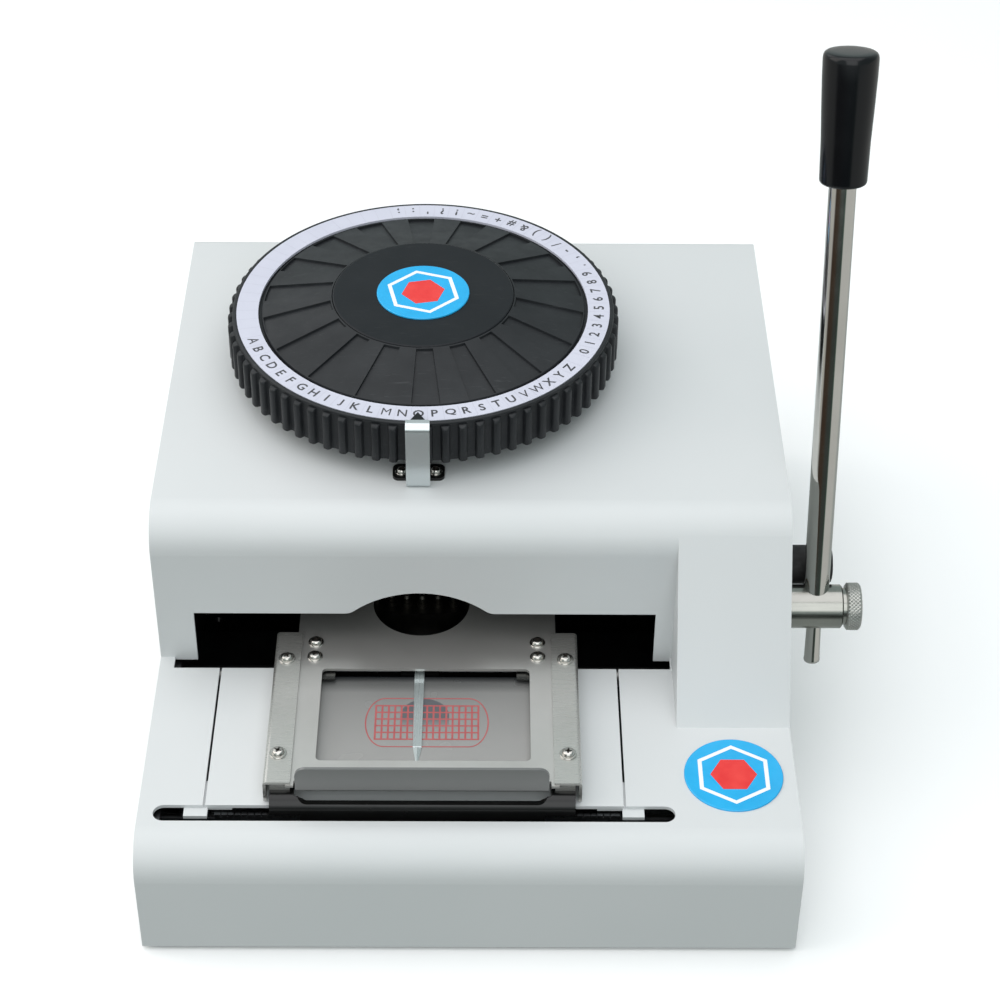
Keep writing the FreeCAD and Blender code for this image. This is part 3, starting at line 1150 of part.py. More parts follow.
def build_card_slide():
    z0 = PLATE_BOTTOM_Z
    z1 = z0 + PLATE_T
    lip_y = LEG_Y + LIP_INSET
    front = lip_y + PLATE_T
    left = CAR_X - LIP_W / 2
    right = CAR_X + LIP_W / 2
    relief = front + 3.5
    outline = [(PLATE_X0, front + 1), (left - 0.9, front + 1), (left - 0.9, relief), (left, relief),
               (left, front), (right, front), (right, relief), (right + 0.9, relief),
               (right + 0.9, front + 1), (PLATE_X1, front + 1), (PLATE_X1, PLATE_Y1), (PLATE_X0, PLATE_Y1)]
    plate = slab(outline, [0] * 10 + [2, 2], on_xy(z0), V(0, 0, PLATE_T))
    outline = rect(WINDOW_X0, WINDOW_X1, WINDOW_Y0, WINDOW_Y1)
    plate = plate.cut(slab(outline, [2.0] * 4, on_xy(z0 - 1), V(0, 0, PLATE_T + 2)))
    notch_y = PLATE_Y1 - 3.7
    plate = plate.cut(rod(NOTCH_R, PRESS_X, notch_y, z0 - 1, PLATE_T + 2))
    plate = plate.cut(box(PRESS_X - NOTCH_R, PRESS_X + NOTCH_R, notch_y, PLATE_Y1 + 5, z0 - 1, z1 + 1))
    lip = slab(rect(left, right, z0, z0 + LIP_H), [0, 0] + [LIP_CORNER_R] * 2, on_xz(lip_y), V(0, PLATE_T, 0))
    plate = plate.fuse(lip).removeSplitter()
    centres = [(e, e.CenterOfMass) for e in plate.Edges]
    corner = [e for e, c in centres if abs(c.y - lip_y) < 0.01 and abs(c.z - z0) < 0.01]
    plate = plate.makeFillet(PLATE_T - 0.1, corner)
    jaws = []
    screws = []
    jaw_z = z0 - 1.6
    slot_z = z0 - 0.8
    jaw_y = WINDOW_Y1 + 1.7
    for side in (-1, 1):
        outer = CAR_X + side * (PLATE_W / 2 - 2.3)
        inner = outer - side * JAW_W
        ear_x = (inner + side * 3, CAR_X + side * (WINDOW_W / 2 - 5.1))
        x0 = min(outer, inner)
        x1 = max(outer, inner)
        low = box(x0, x1, jaw_y, PLATE_Y1 - 4, jaw_z, slot_z)
        pad = box(x0, x1, jaw_y, jaw_y + JAW_PAD, jaw_z, z0)
        ear = box(min(ear_x), max(ear_x), WINDOW_Y1 - 3.8, jaw_y, jaw_z, slot_z)
        jaws.append(join([low, pad, ear]))
    for x, y in CLAMP_SCREWS:
        hole = rod(CLAMP_SCREW[0] + RUN, x, y, z0 - 3, PLATE_T + 5)
        plate = plate.cut(hole)
        jaws = [j.cut(hole) for j in jaws]
        screws.append(pan_screw(x, y, z1, CLAMP_SCREW, PLATE_T + 1.5))
    parts["window_plate"] = plate
    parts["clamp_jaws"] = Part.makeCompound(jaws)
    parts["clamp_screws"] = Part.makeCompound(screws)
    map_z = BRIDGE_TOP_Z - CUT_H + 0.4
    half = MAP_W / 2
    y0 = WINDOW_Y0 - 7.7
    y1 = WINDOW_Y1 - 4.8
    parts["map_plate"] = centred(half, y0, y1, map_z, map_z + MAP_T)
    bars = [box(CAR_X - half, CAR_X - half + 2.4, y0 + 1, y1 - 1, map_z + MAP_T, z0),
            box(CAR_X + half - 2.4, CAR_X + half, y0 + 1, y1 - 1, map_z + MAP_T, z0)]
    parts["slide_spacers"] = Part.makeCompound(bars)


NEEDLE_W = 4.0
NEEDLE_T = 0.8


def build_needle():
    y0 = WINDOW_Y1 + 1.5
    y1 = BACK_SLOT_Y0 - 2.2
    z = BRIDGE_TOP_Z - 0.4
    screw_y = y1 - 3.7
    hole = rod(NEEDLE_SCREW[0] + RUN, PRESS_X, screw_y, DECK_Z - 0.5, z - DECK_Z + 2)
    bracket = box(PRESS_X - 7.5, PRESS_X + 7.5, y0, y1, DECK_Z, z)
    parts["needle_bracket"] = bracket.cut(hole)
    h = NEEDLE_W / 2
    point = WINDOW_Y0 + 0.3
    shoulder = point + 9.5
    outline = [(PRESS_X - h, y1 - 1), (PRESS_X - h, shoulder), (PRESS_X, point), (PRESS_X + h, shoulder),
               (PRESS_X + h, y1 - 1)]
    needle = slab(outline, [0] * 5, on_xy(z), V(0, 0, NEEDLE_T))
    parts["needle"] = needle.cut(hole)
    return pan_screw(PRESS_X, screw_y, z + NEEDLE_T, NEEDLE_SCREW, 4.5)


# ---------------------------------------------------------------- assembly

parts["front_cover"] = build_front_cover()
parts["top_cover"] = build_top_cover()
parts["side_panel_left"] = build_side_panel(-HALF, False)
parts["side_panel_right"] = build_side_panel(HALF - SHEET, True)
parts["rear_panel"] = build_rear_panel()
build_base()
build_chassis()
parts["deck_panel"] = build_deck_panel()
build_wheel()
small_screws = build_pointer()
build_press()
build_lever()
build_carriage()
build_card_slide()
small_screws.append(build_needle())
parts["small_screws"] = Part.makeCompound(small_screws)
parts["deck_badge"] = badge(HALF - DECK_BADGE_X, SLOT_Y1 + DECK_BADGE_Y, DECK_Z)

os.makedirs("parts", exist_ok=True)
for node in sorted(parts):
    shape = parts[node]
    shape.translate(SHIFT)
    shape.exportStep("parts/" + node + ".step")
    print(node, shape.isValid(), len(shape.Solids), round(shape.Volume, 1))
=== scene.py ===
"""Looks of the plastic card embosser: finishes, dial, badges, printed map, studio and camera."""
import json
import math

import bmesh
import bpy
from mathutils import Matrix, Vector


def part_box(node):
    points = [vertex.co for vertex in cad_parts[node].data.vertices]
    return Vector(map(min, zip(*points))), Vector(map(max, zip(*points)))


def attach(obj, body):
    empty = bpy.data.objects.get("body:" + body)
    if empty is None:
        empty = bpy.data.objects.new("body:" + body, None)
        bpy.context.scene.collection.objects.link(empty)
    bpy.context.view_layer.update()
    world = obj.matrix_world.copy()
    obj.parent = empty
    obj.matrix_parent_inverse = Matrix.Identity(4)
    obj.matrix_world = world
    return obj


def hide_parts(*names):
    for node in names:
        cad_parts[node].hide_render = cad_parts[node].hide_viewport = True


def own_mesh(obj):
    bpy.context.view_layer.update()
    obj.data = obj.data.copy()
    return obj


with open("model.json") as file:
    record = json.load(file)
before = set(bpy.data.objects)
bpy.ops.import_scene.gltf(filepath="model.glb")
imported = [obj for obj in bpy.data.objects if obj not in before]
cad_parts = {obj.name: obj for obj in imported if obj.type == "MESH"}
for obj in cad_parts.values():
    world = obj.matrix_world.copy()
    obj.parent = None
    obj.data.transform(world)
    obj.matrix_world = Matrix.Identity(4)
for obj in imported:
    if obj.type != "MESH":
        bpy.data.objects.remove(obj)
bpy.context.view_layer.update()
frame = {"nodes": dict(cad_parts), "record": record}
nodes = frame["nodes"]
MM = 0.001
X, Y = 0, 1


# ---------------------------------------------------------------- mesh helpers

def new_piece(name, points, faces, looks, body, sharp=35.0, face_looks=None):
    """Mesh piece that rides on a body. Looks is one material, or a list that face_looks picks from."""
    mesh = bpy.data.meshes.new(name)
    mesh.from_pydata([tuple(p) for p in points], [], faces)
    mesh.validate()
    for look in looks if isinstance(looks, list) else [looks]:
        mesh.materials.append(look)
    if face_looks:
        for polygon, index in zip(mesh.polygons, face_looks):
            polygon.material_index = index
    mesh.shade_smooth()
    mesh.set_sharp_from_angle(angle=math.radians(sharp))
    mesh.update()
    piece = bpy.data.objects.new(name, mesh)
    bpy.context.scene.collection.objects.link(piece)
    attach(piece, body)
    return piece


def strip_faces(rows, columns):
    """Quads between successive closed rows of points, each row with the same number of columns."""
    faces = []
    for i in range(rows - 1):
        for j in range(columns):
            k = (j + 1) % columns
            faces.append((i * columns + j, i * columns + k, (i + 1) * columns + k, (i + 1) * columns + j))
    return faces


def end_faces(rows, columns):
    """The two faces that close the first and the last row."""
    last = columns * (rows - 1)
    return [tuple(reversed(range(columns))), tuple(range(last, last + columns))]


def shifted(faces, first):
    """The same faces, with their points counted from first."""
    return [tuple(i + first for i in face) for face in faces]


def turned(name, profile, origin, axis, look, body, columns=96, sharp=30.0):
    """Piece of revolution; profile gives (distance along the axis, radius) from end to end."""
    axis = Vector(axis).normalized()
    side = axis.orthogonal().normalized()
    across = axis.cross(side)
    points = []
    for along, radius in profile:
        for i in range(columns):
            a = 2 * math.pi * i / columns
            points.append(origin + axis * along + (side * math.cos(a) + across * math.sin(a)) * radius)
    faces = strip_faces(len(profile), columns) + end_faces(len(profile), columns)
    return new_piece(name, points, faces, look, body, sharp)


def polar(centre, radius, degrees, z, across=0.0):
    """Point at a radius and a bearing; 0 degrees faces the operator and angles grow towards +X.
    Across moves it at right angles to the radius."""
    a = math.radians(degrees)
    return (centre.x + radius * math.sin(a) + across * math.cos(a),
            centre.y - radius * math.cos(a) + across * math.sin(a), z)


# ---------------------------------------------------------------- material helpers

class Finish:
    """A Principled material whose colour, roughness and relief vary with noise in the row frame."""

    def __init__(self, name, roughness, metallic=0.0, **fixed):
        self.name = name
        self.material = bpy.data.materials.new("look_" + name)
        self.material.use_nodes = True
        self.tree = self.material.node_tree
        self.shader = self.tree.nodes["Principled BSDF"]
        self.set("Roughness", roughness)
        self.set("Metallic", metallic)
        for key, value in fixed.items():
            self.set(key.replace("_", " "), value)
        self.place = self.tree.nodes.new("ShaderNodeTexCoord").outputs["Object"]

    def set(self, socket, value):
        self.shader.inputs[socket].default_value = value

    def link(self, source, target):
        self.tree.links.new(source, target)

    def position(self, axis):
        """Coordinate along the axis "X", "Y" or "Z" of the row frame, in metres."""
        split = self.tree.nodes.new("ShaderNodeSeparateXYZ")
        self.link(self.place, split.inputs["Vector"])
        return split.outputs[axis]

    def noise(self, size, stretch=(1, 1, 1), detail=3.0, distortion=0.0):
        """Noise whose features are about size metres across, drawn out along an axis by stretch."""
        mapping = self.tree.nodes.new("ShaderNodeMapping")
        mapping.inputs["Scale"].default_value = [1 / (size * s) for s in stretch]
        self.link(self.place, mapping.inputs["Vector"])
        noise = self.tree.nodes.new("ShaderNodeTexNoise")
        noise.inputs["Scale"].default_value = 1.0
        noise.inputs["Detail"].default_value = detail
        noise.inputs["Distortion"].default_value = distortion
        self.link(mapping.outputs["Vector"], noise.inputs["Vector"])
        return noise.outputs["Fac"]

    def spread(self, factor, low, high, start=0.3, end=0.7):
        """Factor between start and end, mapped to low and high."""
        node = self.tree.nodes.new("ShaderNodeMapRange")
        for socket, value in zip(("From Min", "From Max", "To Min", "To Max"), (start, end, low, high)):
            node.inputs[socket].default_value = value
        self.link(factor, node.inputs["Value"])
        return node.outputs["Result"]

    def blend(self, factor, first, second):
        """Colour mixed from first to second; either may be a colour or a node's output."""
        return mixed_colour(self.tree, factor, first, second)

    def colour(self, source):
        self.link(source, self.shader.inputs["Base Color"])

    def roughness(self, source):
        self.link(source, self.shader.inputs["Roughness"])

    def relief(self, height, depth):
        """Bump of the given depth in metres."""
        node = self.tree.nodes.new("ShaderNodeBump")
        node.inputs["Strength"].default_value = 1.0
        node.inputs["Distance"].default_value = depth
        self.link(height, node.inputs["Height"])
        self.link(node.outputs["Normal"], self.shader.inputs["Normal"])


def mixed_colour(tree, factor, first, second):
    """Output of a colour mix node; first and second are colours or outputs of other nodes."""
    node = tree.nodes.new("ShaderNodeMix")
    node.data_type = "RGBA"
    tree.links.new(factor, node.inputs[0])
    for socket, source in ((node.inputs[6], first), (node.inputs[7], second)):
        if isinstance(source, tuple):
            socket.default_value = (*source, 1.0)
        else:
            tree.links.new(source, socket)
    return node.outputs[2]


def plain(name, first, second, patch, rough, metallic=0.0, grain=0.4 * MM, depth=0.01 * MM, **fixed):
    """Finish with colour patches of a given size, roughness between two values and a fine grain."""
    f = Finish(name, sum(rough) / 2, metallic, **fixed)
    f.colour(f.blend(f.spread(f.noise(patch), 0.0, 1.0), first, second))
    f.roughness(f.spread(f.noise(patch * 0.4, detail=5.0), *rough))
    f.relief(f.noise(grain, detail=2.0), depth)
    return f


LINE_STRETCH = 60.0
CLOUD = 18 * MM


def brushed(name, first, second, along, rough, metallic=1.0, depth=0.002 * MM):
    """Rolled or brushed metal: cloudy patches and fine lines along an axis."""
    f = Finish(name, sum(rough) / 2, metallic)
    lines = tuple(LINE_STRETCH if axis == along else 1.0 for axis in range(3))
    clouds = f.spread(f.noise(CLOUD, detail=4.0), 0.0, 1.0)
    f.colour(f.blend(clouds, first, second))
    f.roughness(f.spread(f.noise(0.3 * MM, lines, detail=4.0), *rough))
    f.relief(f.noise(0.25 * MM, lines, detail=2.0), depth)
    return f


RUB_COLOUR = (0.12, 0.125, 0.13)
RUB_STRETCH = (9, 1, 1)


def scuffed(name, first, second, rough, rubbed, **fixed):
    """Moulded plastic with fine drawn-out rubs, which lift its colour by the share rubbed."""
    f = Finish(name, sum(rough) / 2, 0.0, **fixed)
    patches = f.blend(f.spread(f.noise(20 * MM), 0.0, 1.0), first, second)
    rubs = f.noise(1.2 * MM, RUB_STRETCH, detail=4.0, distortion=1.5)
    f.colour(f.blend(f.spread(rubs, 0.0, rubbed, start=0.62, end=0.74), patches, RUB_COLOUR))
    f.roughness(f.spread(f.noise(6 * MM, detail=5.0), *rough))
    f.relief(f.noise(0.4 * MM, detail=2.0), 0.012 * MM)
    return f


# ---------------------------------------------------------------- finishes

LIP_DEPTH = 1.6 * MM
LIP_FADE = 0.3 * MM
# Colour of the painted shade on the window plate's front lip.
LIP_PAINTED_SHADE = (0.25, 0.25, 0.248)


def plate_finish():
    """Steel of the window plate, with painted shade on the lip at its front."""
    f = brushed("plate_steel", (0.57, 0.56, 0.54), (0.61, 0.6, 0.58), X, (0.28, 0.33), 0.78, 0.0004 * MM)
    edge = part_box("window_plate")[0].y + LIP_DEPTH
    base = f.shader.inputs["Base Color"].links[0].from_socket
    f.colour(f.blend(f.spread(f.position("Y"), 0.0, 1.0, edge, edge + LIP_FADE), LIP_PAINTED_SHADE, base))
    return f


def metal_finishes():
    return [
        brushed("frame_steel", (0.1, 0.105, 0.11), (0.16, 0.165, 0.17), Y, (0.3, 0.42)),
        brushed("press_steel", (0.2, 0.2, 0.2), (0.28, 0.28, 0.27), X, (0.3, 0.45)),
        plain("type_steel", (0.06, 0.057, 0.05), (0.1, 0.095, 0.085), 10 * MM, (0.35, 0.5), 1.0),
        brushed("stainless", (0.545, 0.54, 0.515), (0.585, 0.58, 0.555), X, (0.26, 0.31), 0.82, 0.0004 * MM),
        plate_finish(),
        brushed("strip_steel", (0.56, 0.6, 0.61), (0.61, 0.65, 0.66), X, (0.2, 0.26), 0.74, 0.0003 * MM),
        plain("jaw_steel", (0.06, 0.06, 0.058), (0.09, 0.09, 0.086), 4 * MM, (0.2, 0.3), 0.9),
        plain("chrome", (0.55, 0.54, 0.51), (0.61, 0.6, 0.57), 20 * MM, (0.07, 0.13), 1.0,
              depth=0.001 * MM),
        plain("screws", (0.5, 0.49, 0.46), (0.6, 0.58, 0.55), 3 * MM, (0.16, 0.28), 1.0),
        brushed("bronze", (0.3, 0.2, 0.09), (0.4, 0.27, 0.13), X, (0.3, 0.45)),
        brushed("hub_steel", (0.3, 0.3, 0.28), (0.36, 0.36, 0.33), X, (0.16, 0.26)),
        plain("nut_steel", (0.42, 0.42, 0.4), (0.5, 0.5, 0.47), 6 * MM, (0.28, 0.4), 0.9),
        brushed("needle_steel", (0.43, 0.48, 0.48), (0.47, 0.52, 0.52), Y, (0.26, 0.3), 0.6, 0.0003 * MM),
    ]


def coated_finishes():
    """Paint, plastic, rubber and the painted shade in the screws' recesses."""
    return [
        plain("case_paint", (0.585, 0.605, 0.61), (0.605, 0.622, 0.627), 90 * MM, (0.44, 0.52),
              grain=0.7 * MM, depth=0.012 * MM),
        plain("black_steel", (0.004, 0.004, 0.004), (0.007, 0.007, 0.007), 30 * MM, (0.2, 0.28),
              Specular_IOR_Level=0.4),
        scuffed("knob_plastic", (0.012, 0.0135, 0.0155), (0.019, 0.021, 0.0235), (0.36, 0.5), 0.16,
                Specular_IOR_Level=0.28),
        scuffed("cover_plastic", (0.008, 0.0095, 0.012), (0.011, 0.0125, 0.015), (0.3, 0.42), 0.1,
                Specular_IOR_Level=0.22),
        plain("ring_plastic", (0.53, 0.54, 0.625), (0.565, 0.575, 0.66), 20 * MM, (0.4, 0.5),
              Specular_IOR_Level=0.14),
        plain("badge", (0.012, 0.36, 0.7), (0.016, 0.4, 0.76), 10 * MM, (0.14, 0.22)),
        plain("map_plastic", (0.17, 0.168, 0.165), (0.215, 0.212, 0.208), 20 * MM, (0.3, 0.42)),
        plain("rubber", (0.006, 0.006, 0.006), (0.014, 0.014, 0.014), 6 * MM, (0.55, 0.75),
              depth=0.05 * MM),
        plain("grip_plastic", (0.0032, 0.0038, 0.005), (0.0045, 0.0052, 0.0065), 20 * MM, (0.16, 0.22),
              Specular_IOR_Level=0.3),
        # Painted shade for the wall and floor of the screws' cross recesses.
        plain("screw_recess_shade", (0.02, 0.015, 0.012), (0.035, 0.03, 0.025), 2 * MM, (0.4, 0.6)),
    ]


finishes = {f.name: f.material for f in metal_finishes() + coated_finishes()}
OWN_LOOKS = {"window_plate": "plate_steel", "clamp_jaws": "jaw_steel", "pointer_strip": "strip_steel"}


def dress_nodes():
    """Each CAD node takes the finish of its slot in the record, or its own look."""
    for entry in frame["record"]["subparts"]:
        mesh = nodes[entry["node"]].data
        mesh.materials.clear()
        look = OWN_LOOKS.get(entry["node"], entry["material_slot"])
        mesh.materials.append(finishes[look])


dress_nodes()


# ---------------------------------------------------------------- ram spring


def squeeze_spring():
    """Gives the ram spring a mesh of its own; the spring rides the ram and is not shortened by the stroke.
    """
    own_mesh(nodes["ram_spring"])


squeeze_spring()


# ---------------------------------------------------------------- dial

ring_low, ring_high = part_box("letter_ring")
knob_low, knob_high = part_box("knob")
cover_low, cover_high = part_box("centre_cover")
dial = (ring_low + ring_high) / 2
KNOB_R = (knob_high.x - knob_low.x) / 2
COVER_R = (cover_high.x - cover_low.x) / 2
RING_OUT = (ring_high.x - ring_low.x) / 2
RING_IN = RING_OUT - 8.9 * MM
RING_GAP = 0.15 * MM
SEAT_R = RING_IN - 0.25 * MM
RIM_Z = ring_high.z - 0.1 * MM
FOOT_Z = RIM_Z - 18.9 * MM
CROWN_Z = knob_high.z

CELLS = 72
CELL = 360.0 / CELLS
WALL_R = KNOB_R - 2.3 * MM
RIM_R = KNOB_R - 2.0 * MM
RIB_TOP_Z = FOOT_Z + 17.3 * MM
# Half a rib from its root to its nose: degrees from the middle, share of the full height.
HALF_RIB = [(-2.5, 0), (-1.75, 0), (-1.42, 0.02), (-1.3, 0.12), (-1.24, 0.35), (-1.15, 0.62),
            (-0.95, 0.84), (-0.6, 0.96), (-0.25, 1.0)]


def build_skirt():
    """Outer wall: ribs with rounded noses and tops under a plain rim, down to the ring's seat."""
    rib = HALF_RIB + [(-offset, height) for offset, height in HALF_RIB[:0:-1]]
    lip = RING_OUT + RING_GAP
    # Radius of the wall, z, and the share by which the ribs stand out of it.
    rows = [(WALL_R - 3 * MM, FOOT_Z, 0), (WALL_R - 0.5 * MM, FOOT_Z, 0.35),
            (WALL_R, FOOT_Z + 0.3 * MM, 0.92), (WALL_R, FOOT_Z + 0.8 * MM, 1.0),
            (WALL_R, RIB_TOP_Z - 1.7 * MM, 1.0), (WALL_R, RIB_TOP_Z - 1.0 * MM, 0.95),
            (WALL_R, RIB_TOP_Z - 0.5 * MM, 0.8), (WALL_R, RIB_TOP_Z - 0.15 * MM, 0.5),
            (WALL_R, RIB_TOP_Z, 0), (WALL_R, RIM_Z - 1.5 * MM, 0), (RIM_R - 0.1 * MM, RIM_Z - 1.4 * MM, 0),
            (RIM_R, RIM_Z - 1.2 * MM, 0), (RIM_R, RIM_Z - 0.6 * MM, 0),
            (RIM_R - 0.1 * MM, RIM_Z - 0.3 * MM, 0), (RIM_R - 0.3 * MM, RIM_Z - 0.1 * MM, 0),
            (RIM_R - 0.6 * MM, RIM_Z, 0), (lip + 0.1 * MM, RIM_Z, 0), (lip, RIM_Z - 0.1 * MM, 0),
            (lip, RIM_Z - 0.9 * MM, 0)]
    points = []
    for radius, z, reach in rows:
        for cell in range(CELLS):
            for offset, height in rib:
                stands_out = height * reach * (KNOB_R - WALL_R)
                points.append(polar(dial, radius + stands_out, (cell + 0.5) * CELL + offset, z))
    return points, strip_faces(len(rows), CELLS * len(rib))


SECTORS = 18
SECTOR_START = -2.9
SECTOR_PITCH = 360.0 / SECTORS
SUNK = 1.0 * MM
CONE_OUT = RING_IN - 1.4 * MM
CONE_IN = COVER_R + 0.3 * MM
CONE_FOOT_Z = RIM_Z - 0.1 * MM
SECTOR_OUT = CONE_OUT - 0.6 * MM
SECTOR_IN = CONE_IN + 0.6 * MM
SECTOR_STEPS = 6
# Degrees from the sector's start, and whether the crown is sunk there.
SECTOR_COLUMNS = [(-0.12, 0), (0.0, 0), (0.12, 1), (0.3, 1), (3.4, 1), (6.6, 1), (9.7, 1), (9.88, 1),
                  (10.0, 0), (10.12, 0), (13.3, 0), (16.7, 0)]


def cone_z(radius):
    """Height of the crown's cone, from the letter ring up to the centre cover."""
    return CROWN_Z + (CONE_FOOT_Z - CROWN_Z) * (radius - CONE_IN) / (CONE_OUT - CONE_IN)


def build_crown():
    """Shallow cone between the ring and the centre cover, with sunk sectors."""
    groove = RIM_Z - 1.6 * MM
    well = CROWN_Z - 1.5 * MM
    first_sunk = SECTOR_OUT - 0.1 * MM
    last_sunk = SECTOR_IN + 0.1 * MM
    rows = [(SEAT_R, groove, 0), (CONE_OUT + 0.05 * MM, groove, 0), (CONE_OUT, CONE_FOOT_Z - 0.3 * MM, 0)]
    outer_radii = (CONE_OUT - 0.25 * MM, SECTOR_OUT + 0.15 * MM, SECTOR_OUT + 0.03 * MM)
    rows += [(r, cone_z(r), 0) for r in outer_radii]
    for i in range(SECTOR_STEPS + 1):
        r = first_sunk + (last_sunk - first_sunk) * i / SECTOR_STEPS
        rows.append((r, cone_z(r), 1))
    inner_radii = (SECTOR_IN - 0.03 * MM, SECTOR_IN - 0.15 * MM, CONE_IN)
    rows += [(r, cone_z(r), 0) for r in inner_radii]
    rows += [(CONE_IN - 0.1 * MM, CROWN_Z - 0.1 * MM, 0), (CONE_IN - 0.15 * MM, well, 0), (8 * MM, well, 0)]
    points = []
    for radius, z, deep in rows:
        for sector in range(SECTORS):
            for offset, sunk in SECTOR_COLUMNS:
                sink = SUNK if sunk and deep else 0.0
                points.append(polar(dial, radius, SECTOR_START + sector * SECTOR_PITCH + offset, z - sink))
    return points, strip_faces(len(rows), SECTORS * len(SECTOR_COLUMNS))


HUB_R = 14 * MM
BORE_R = 7.05 * MM
HUB_FOOT_Z = FOOT_Z - 5 * MM


def build_knob():
    """Skirt, crown, the seat below the ring and the hollow underside with its hub."""
    points, faces = build_skirt()
    crown_points, crown_faces = build_crown()
    faces += shifted(crown_faces, len(points))
    points += crown_points
    lip = RING_OUT + RING_GAP
    seat = [(lip, RIM_Z - 0.9 * MM), (lip, RIM_Z - 1.15 * MM), (SEAT_R, RIM_Z - 1.15 * MM),
            (SEAT_R, RIM_Z - 1.65 * MM)]
    inside_r = KNOB_R - 5.6 * MM
    inside_z = RIM_Z - 4.6 * MM
    roof_z = CROWN_Z - 5.9 * MM
    under = [(inside_r, FOOT_Z), (inside_r, inside_z), (RING_IN - 2 * MM, inside_z), (COVER_R, roof_z),
             (HUB_R, roof_z), (HUB_R, HUB_FOOT_Z), (BORE_R, HUB_FOOT_Z)]
    columns = CELLS * 2
    for profile in (seat, under):
        faces += shifted(strip_faces(len(profile), columns), len(points))
        for radius, z in profile:
            points += [polar(dial, radius, 360.0 * i / columns, z) for i in range(columns)]
    piece = new_piece("dial_knob", points, faces, finishes["knob_plastic"], "wheel")
    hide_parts("knob")


build_knob()


# ---------------------------------------------------------------- printed characters

CAP_RISE = 0.69
NARROWED = 0.9
BOLD = 0.02
THIN_BOLD = {"M": 0.0, "N": 0.008, "W": 0.008, "A": 0.008, "V": 0.008}


def glyph_mesh(text, height):
    """Outline of one character as (points, faces), centred, standing along +Y."""
    curve = bpy.data.curves.new("glyph", "FONT")
    curve.body = text
    curve.resolution_u = 3
    curve.size = 1.0
    curve.offset = THIN_BOLD.get(text, BOLD)
    holder = bpy.data.objects.new("glyph", curve)
    bpy.context.scene.collection.objects.link(holder)
    bpy.context.view_layer.update()
    mesh = bpy.data.meshes.new_from_object(holder)
    points = [v.co.copy() for v in mesh.vertices]
    faces = [tuple(p.vertices) for p in mesh.polygons]
    bpy.data.objects.remove(holder)
    bpy.data.curves.remove(curve)
    bpy.data.meshes.remove(mesh)
    middle = (min(p.x for p in points) + max(p.x for p in points)) / 2
    foot, rise = 0.0, CAP_RISE
    if text.isalnum():
        foot = min(p.y for p in points)
        rise = max(p.y for p in points) - foot
    wide = height / CAP_RISE * NARROWED
    return [((p.x - middle) * wide, ((p.y - foot) / rise - 0.5) * height) for p in points], faces


PRINT_TURN = -0.25
PRINT_LIFT = 0.02 * MM
PRINT_HEIGHT = 4.3 * MM
INK_ROUGH = (0.4, 0.5)
RING_GROUPS = ((-70.0, "ABCDEFGHIJKLMNOPQRSTUVWXYZ"), (65.0, "0123456789"), (115.0, ".,-/()&#+=~!?':;"))


def build_ring_characters():
    """Plain index characters round the ring, one to a cell, with their feet outwards."""
    z = ring_high.z + PRINT_LIFT
    middle = (RING_IN + RING_OUT) / 2
    points = []
    faces = []
    for start, characters in RING_GROUPS:
        for i, text in enumerate(characters):
            outline, polygons = glyph_mesh(text, PRINT_HEIGHT)
            faces += shifted(polygons, len(points))
            points += [polar(dial, middle - y, start + CELL * i + PRINT_TURN, z, x) for x, y in outline]
    ink = plain("print_ink", (0.03, 0.03, 0.035), (0.07, 0.07, 0.08), 4 * MM, INK_ROUGH).material
    new_piece("dial_characters", points, faces, ink, "wheel")


def build_ring_divisions():
    """Faint line between each two cells of the ring."""
    z = ring_high.z + PRINT_LIFT
    half = 0.07 * MM
    start = RING_IN + 0.6 * MM
    end = RING_OUT - 0.5 * MM
    points = []
    for cell in range(CELLS):
        for radius, across in ((start, -half), (end, -half), (end, half), (start, half)):
            points.append(polar(dial, radius, (cell + 0.5) * CELL, z, across))
    faces = [tuple(range(first, first + 4)) for first in range(0, len(points), 4)]
    pale = plain("print_pale", (0.42, 0.42, 0.5), (0.5, 0.5, 0.58), 4 * MM, INK_ROUGH).material
    new_piece("dial_divisions", points, faces, pale, "wheel")


build_ring_characters()
build_ring_divisions()


# ---------------------------------------------------------------- badges

SIDES = 6
BAND_OUT = 15.5 * MM
BAND_IN = 13.7 * MM
FIELD_R = 9.0 * MM
BADGE_ROUGH = (0.12, 0.2)


def regular(centre, radius, turn, z):
    """Corners of a regular polygon."""
    return [polar(centre, radius, turn + 360.0 * i / SIDES, z) for i in range(SIDES)]


def build_badge(node, body, turn):
    """Generic round label: a white six-sided band and a red six-sided field on blue."""
    low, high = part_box(node)
    centre = (low + high) / 2
    white = plain(node + "_white", (0.8, 0.82, 0.86), (0.84, 0.86, 0.9), 5 * MM, BADGE_ROUGH).material
    red = plain(node + "_red", (0.7, 0.03, 0.03), (0.76, 0.05, 0.045), 6 * MM, BADGE_ROUGH).material
    z = high.z + PRINT_LIFT
    band = regular(centre, BAND_OUT, turn, z) + regular(centre, BAND_IN, turn, z)
    new_piece(node + "_band", band, strip_faces(2, SIDES), white, body)
    field = regular(centre, FIELD_R, turn + 180.0 / SIDES, z)
    new_piece(node + "_field", field, [tuple(range(SIDES))], red, body)


build_badge("wheel_badge", "wheel", 12.0)
build_badge("deck_badge", "base", 0.0)


# ---------------------------------------------------------------- map

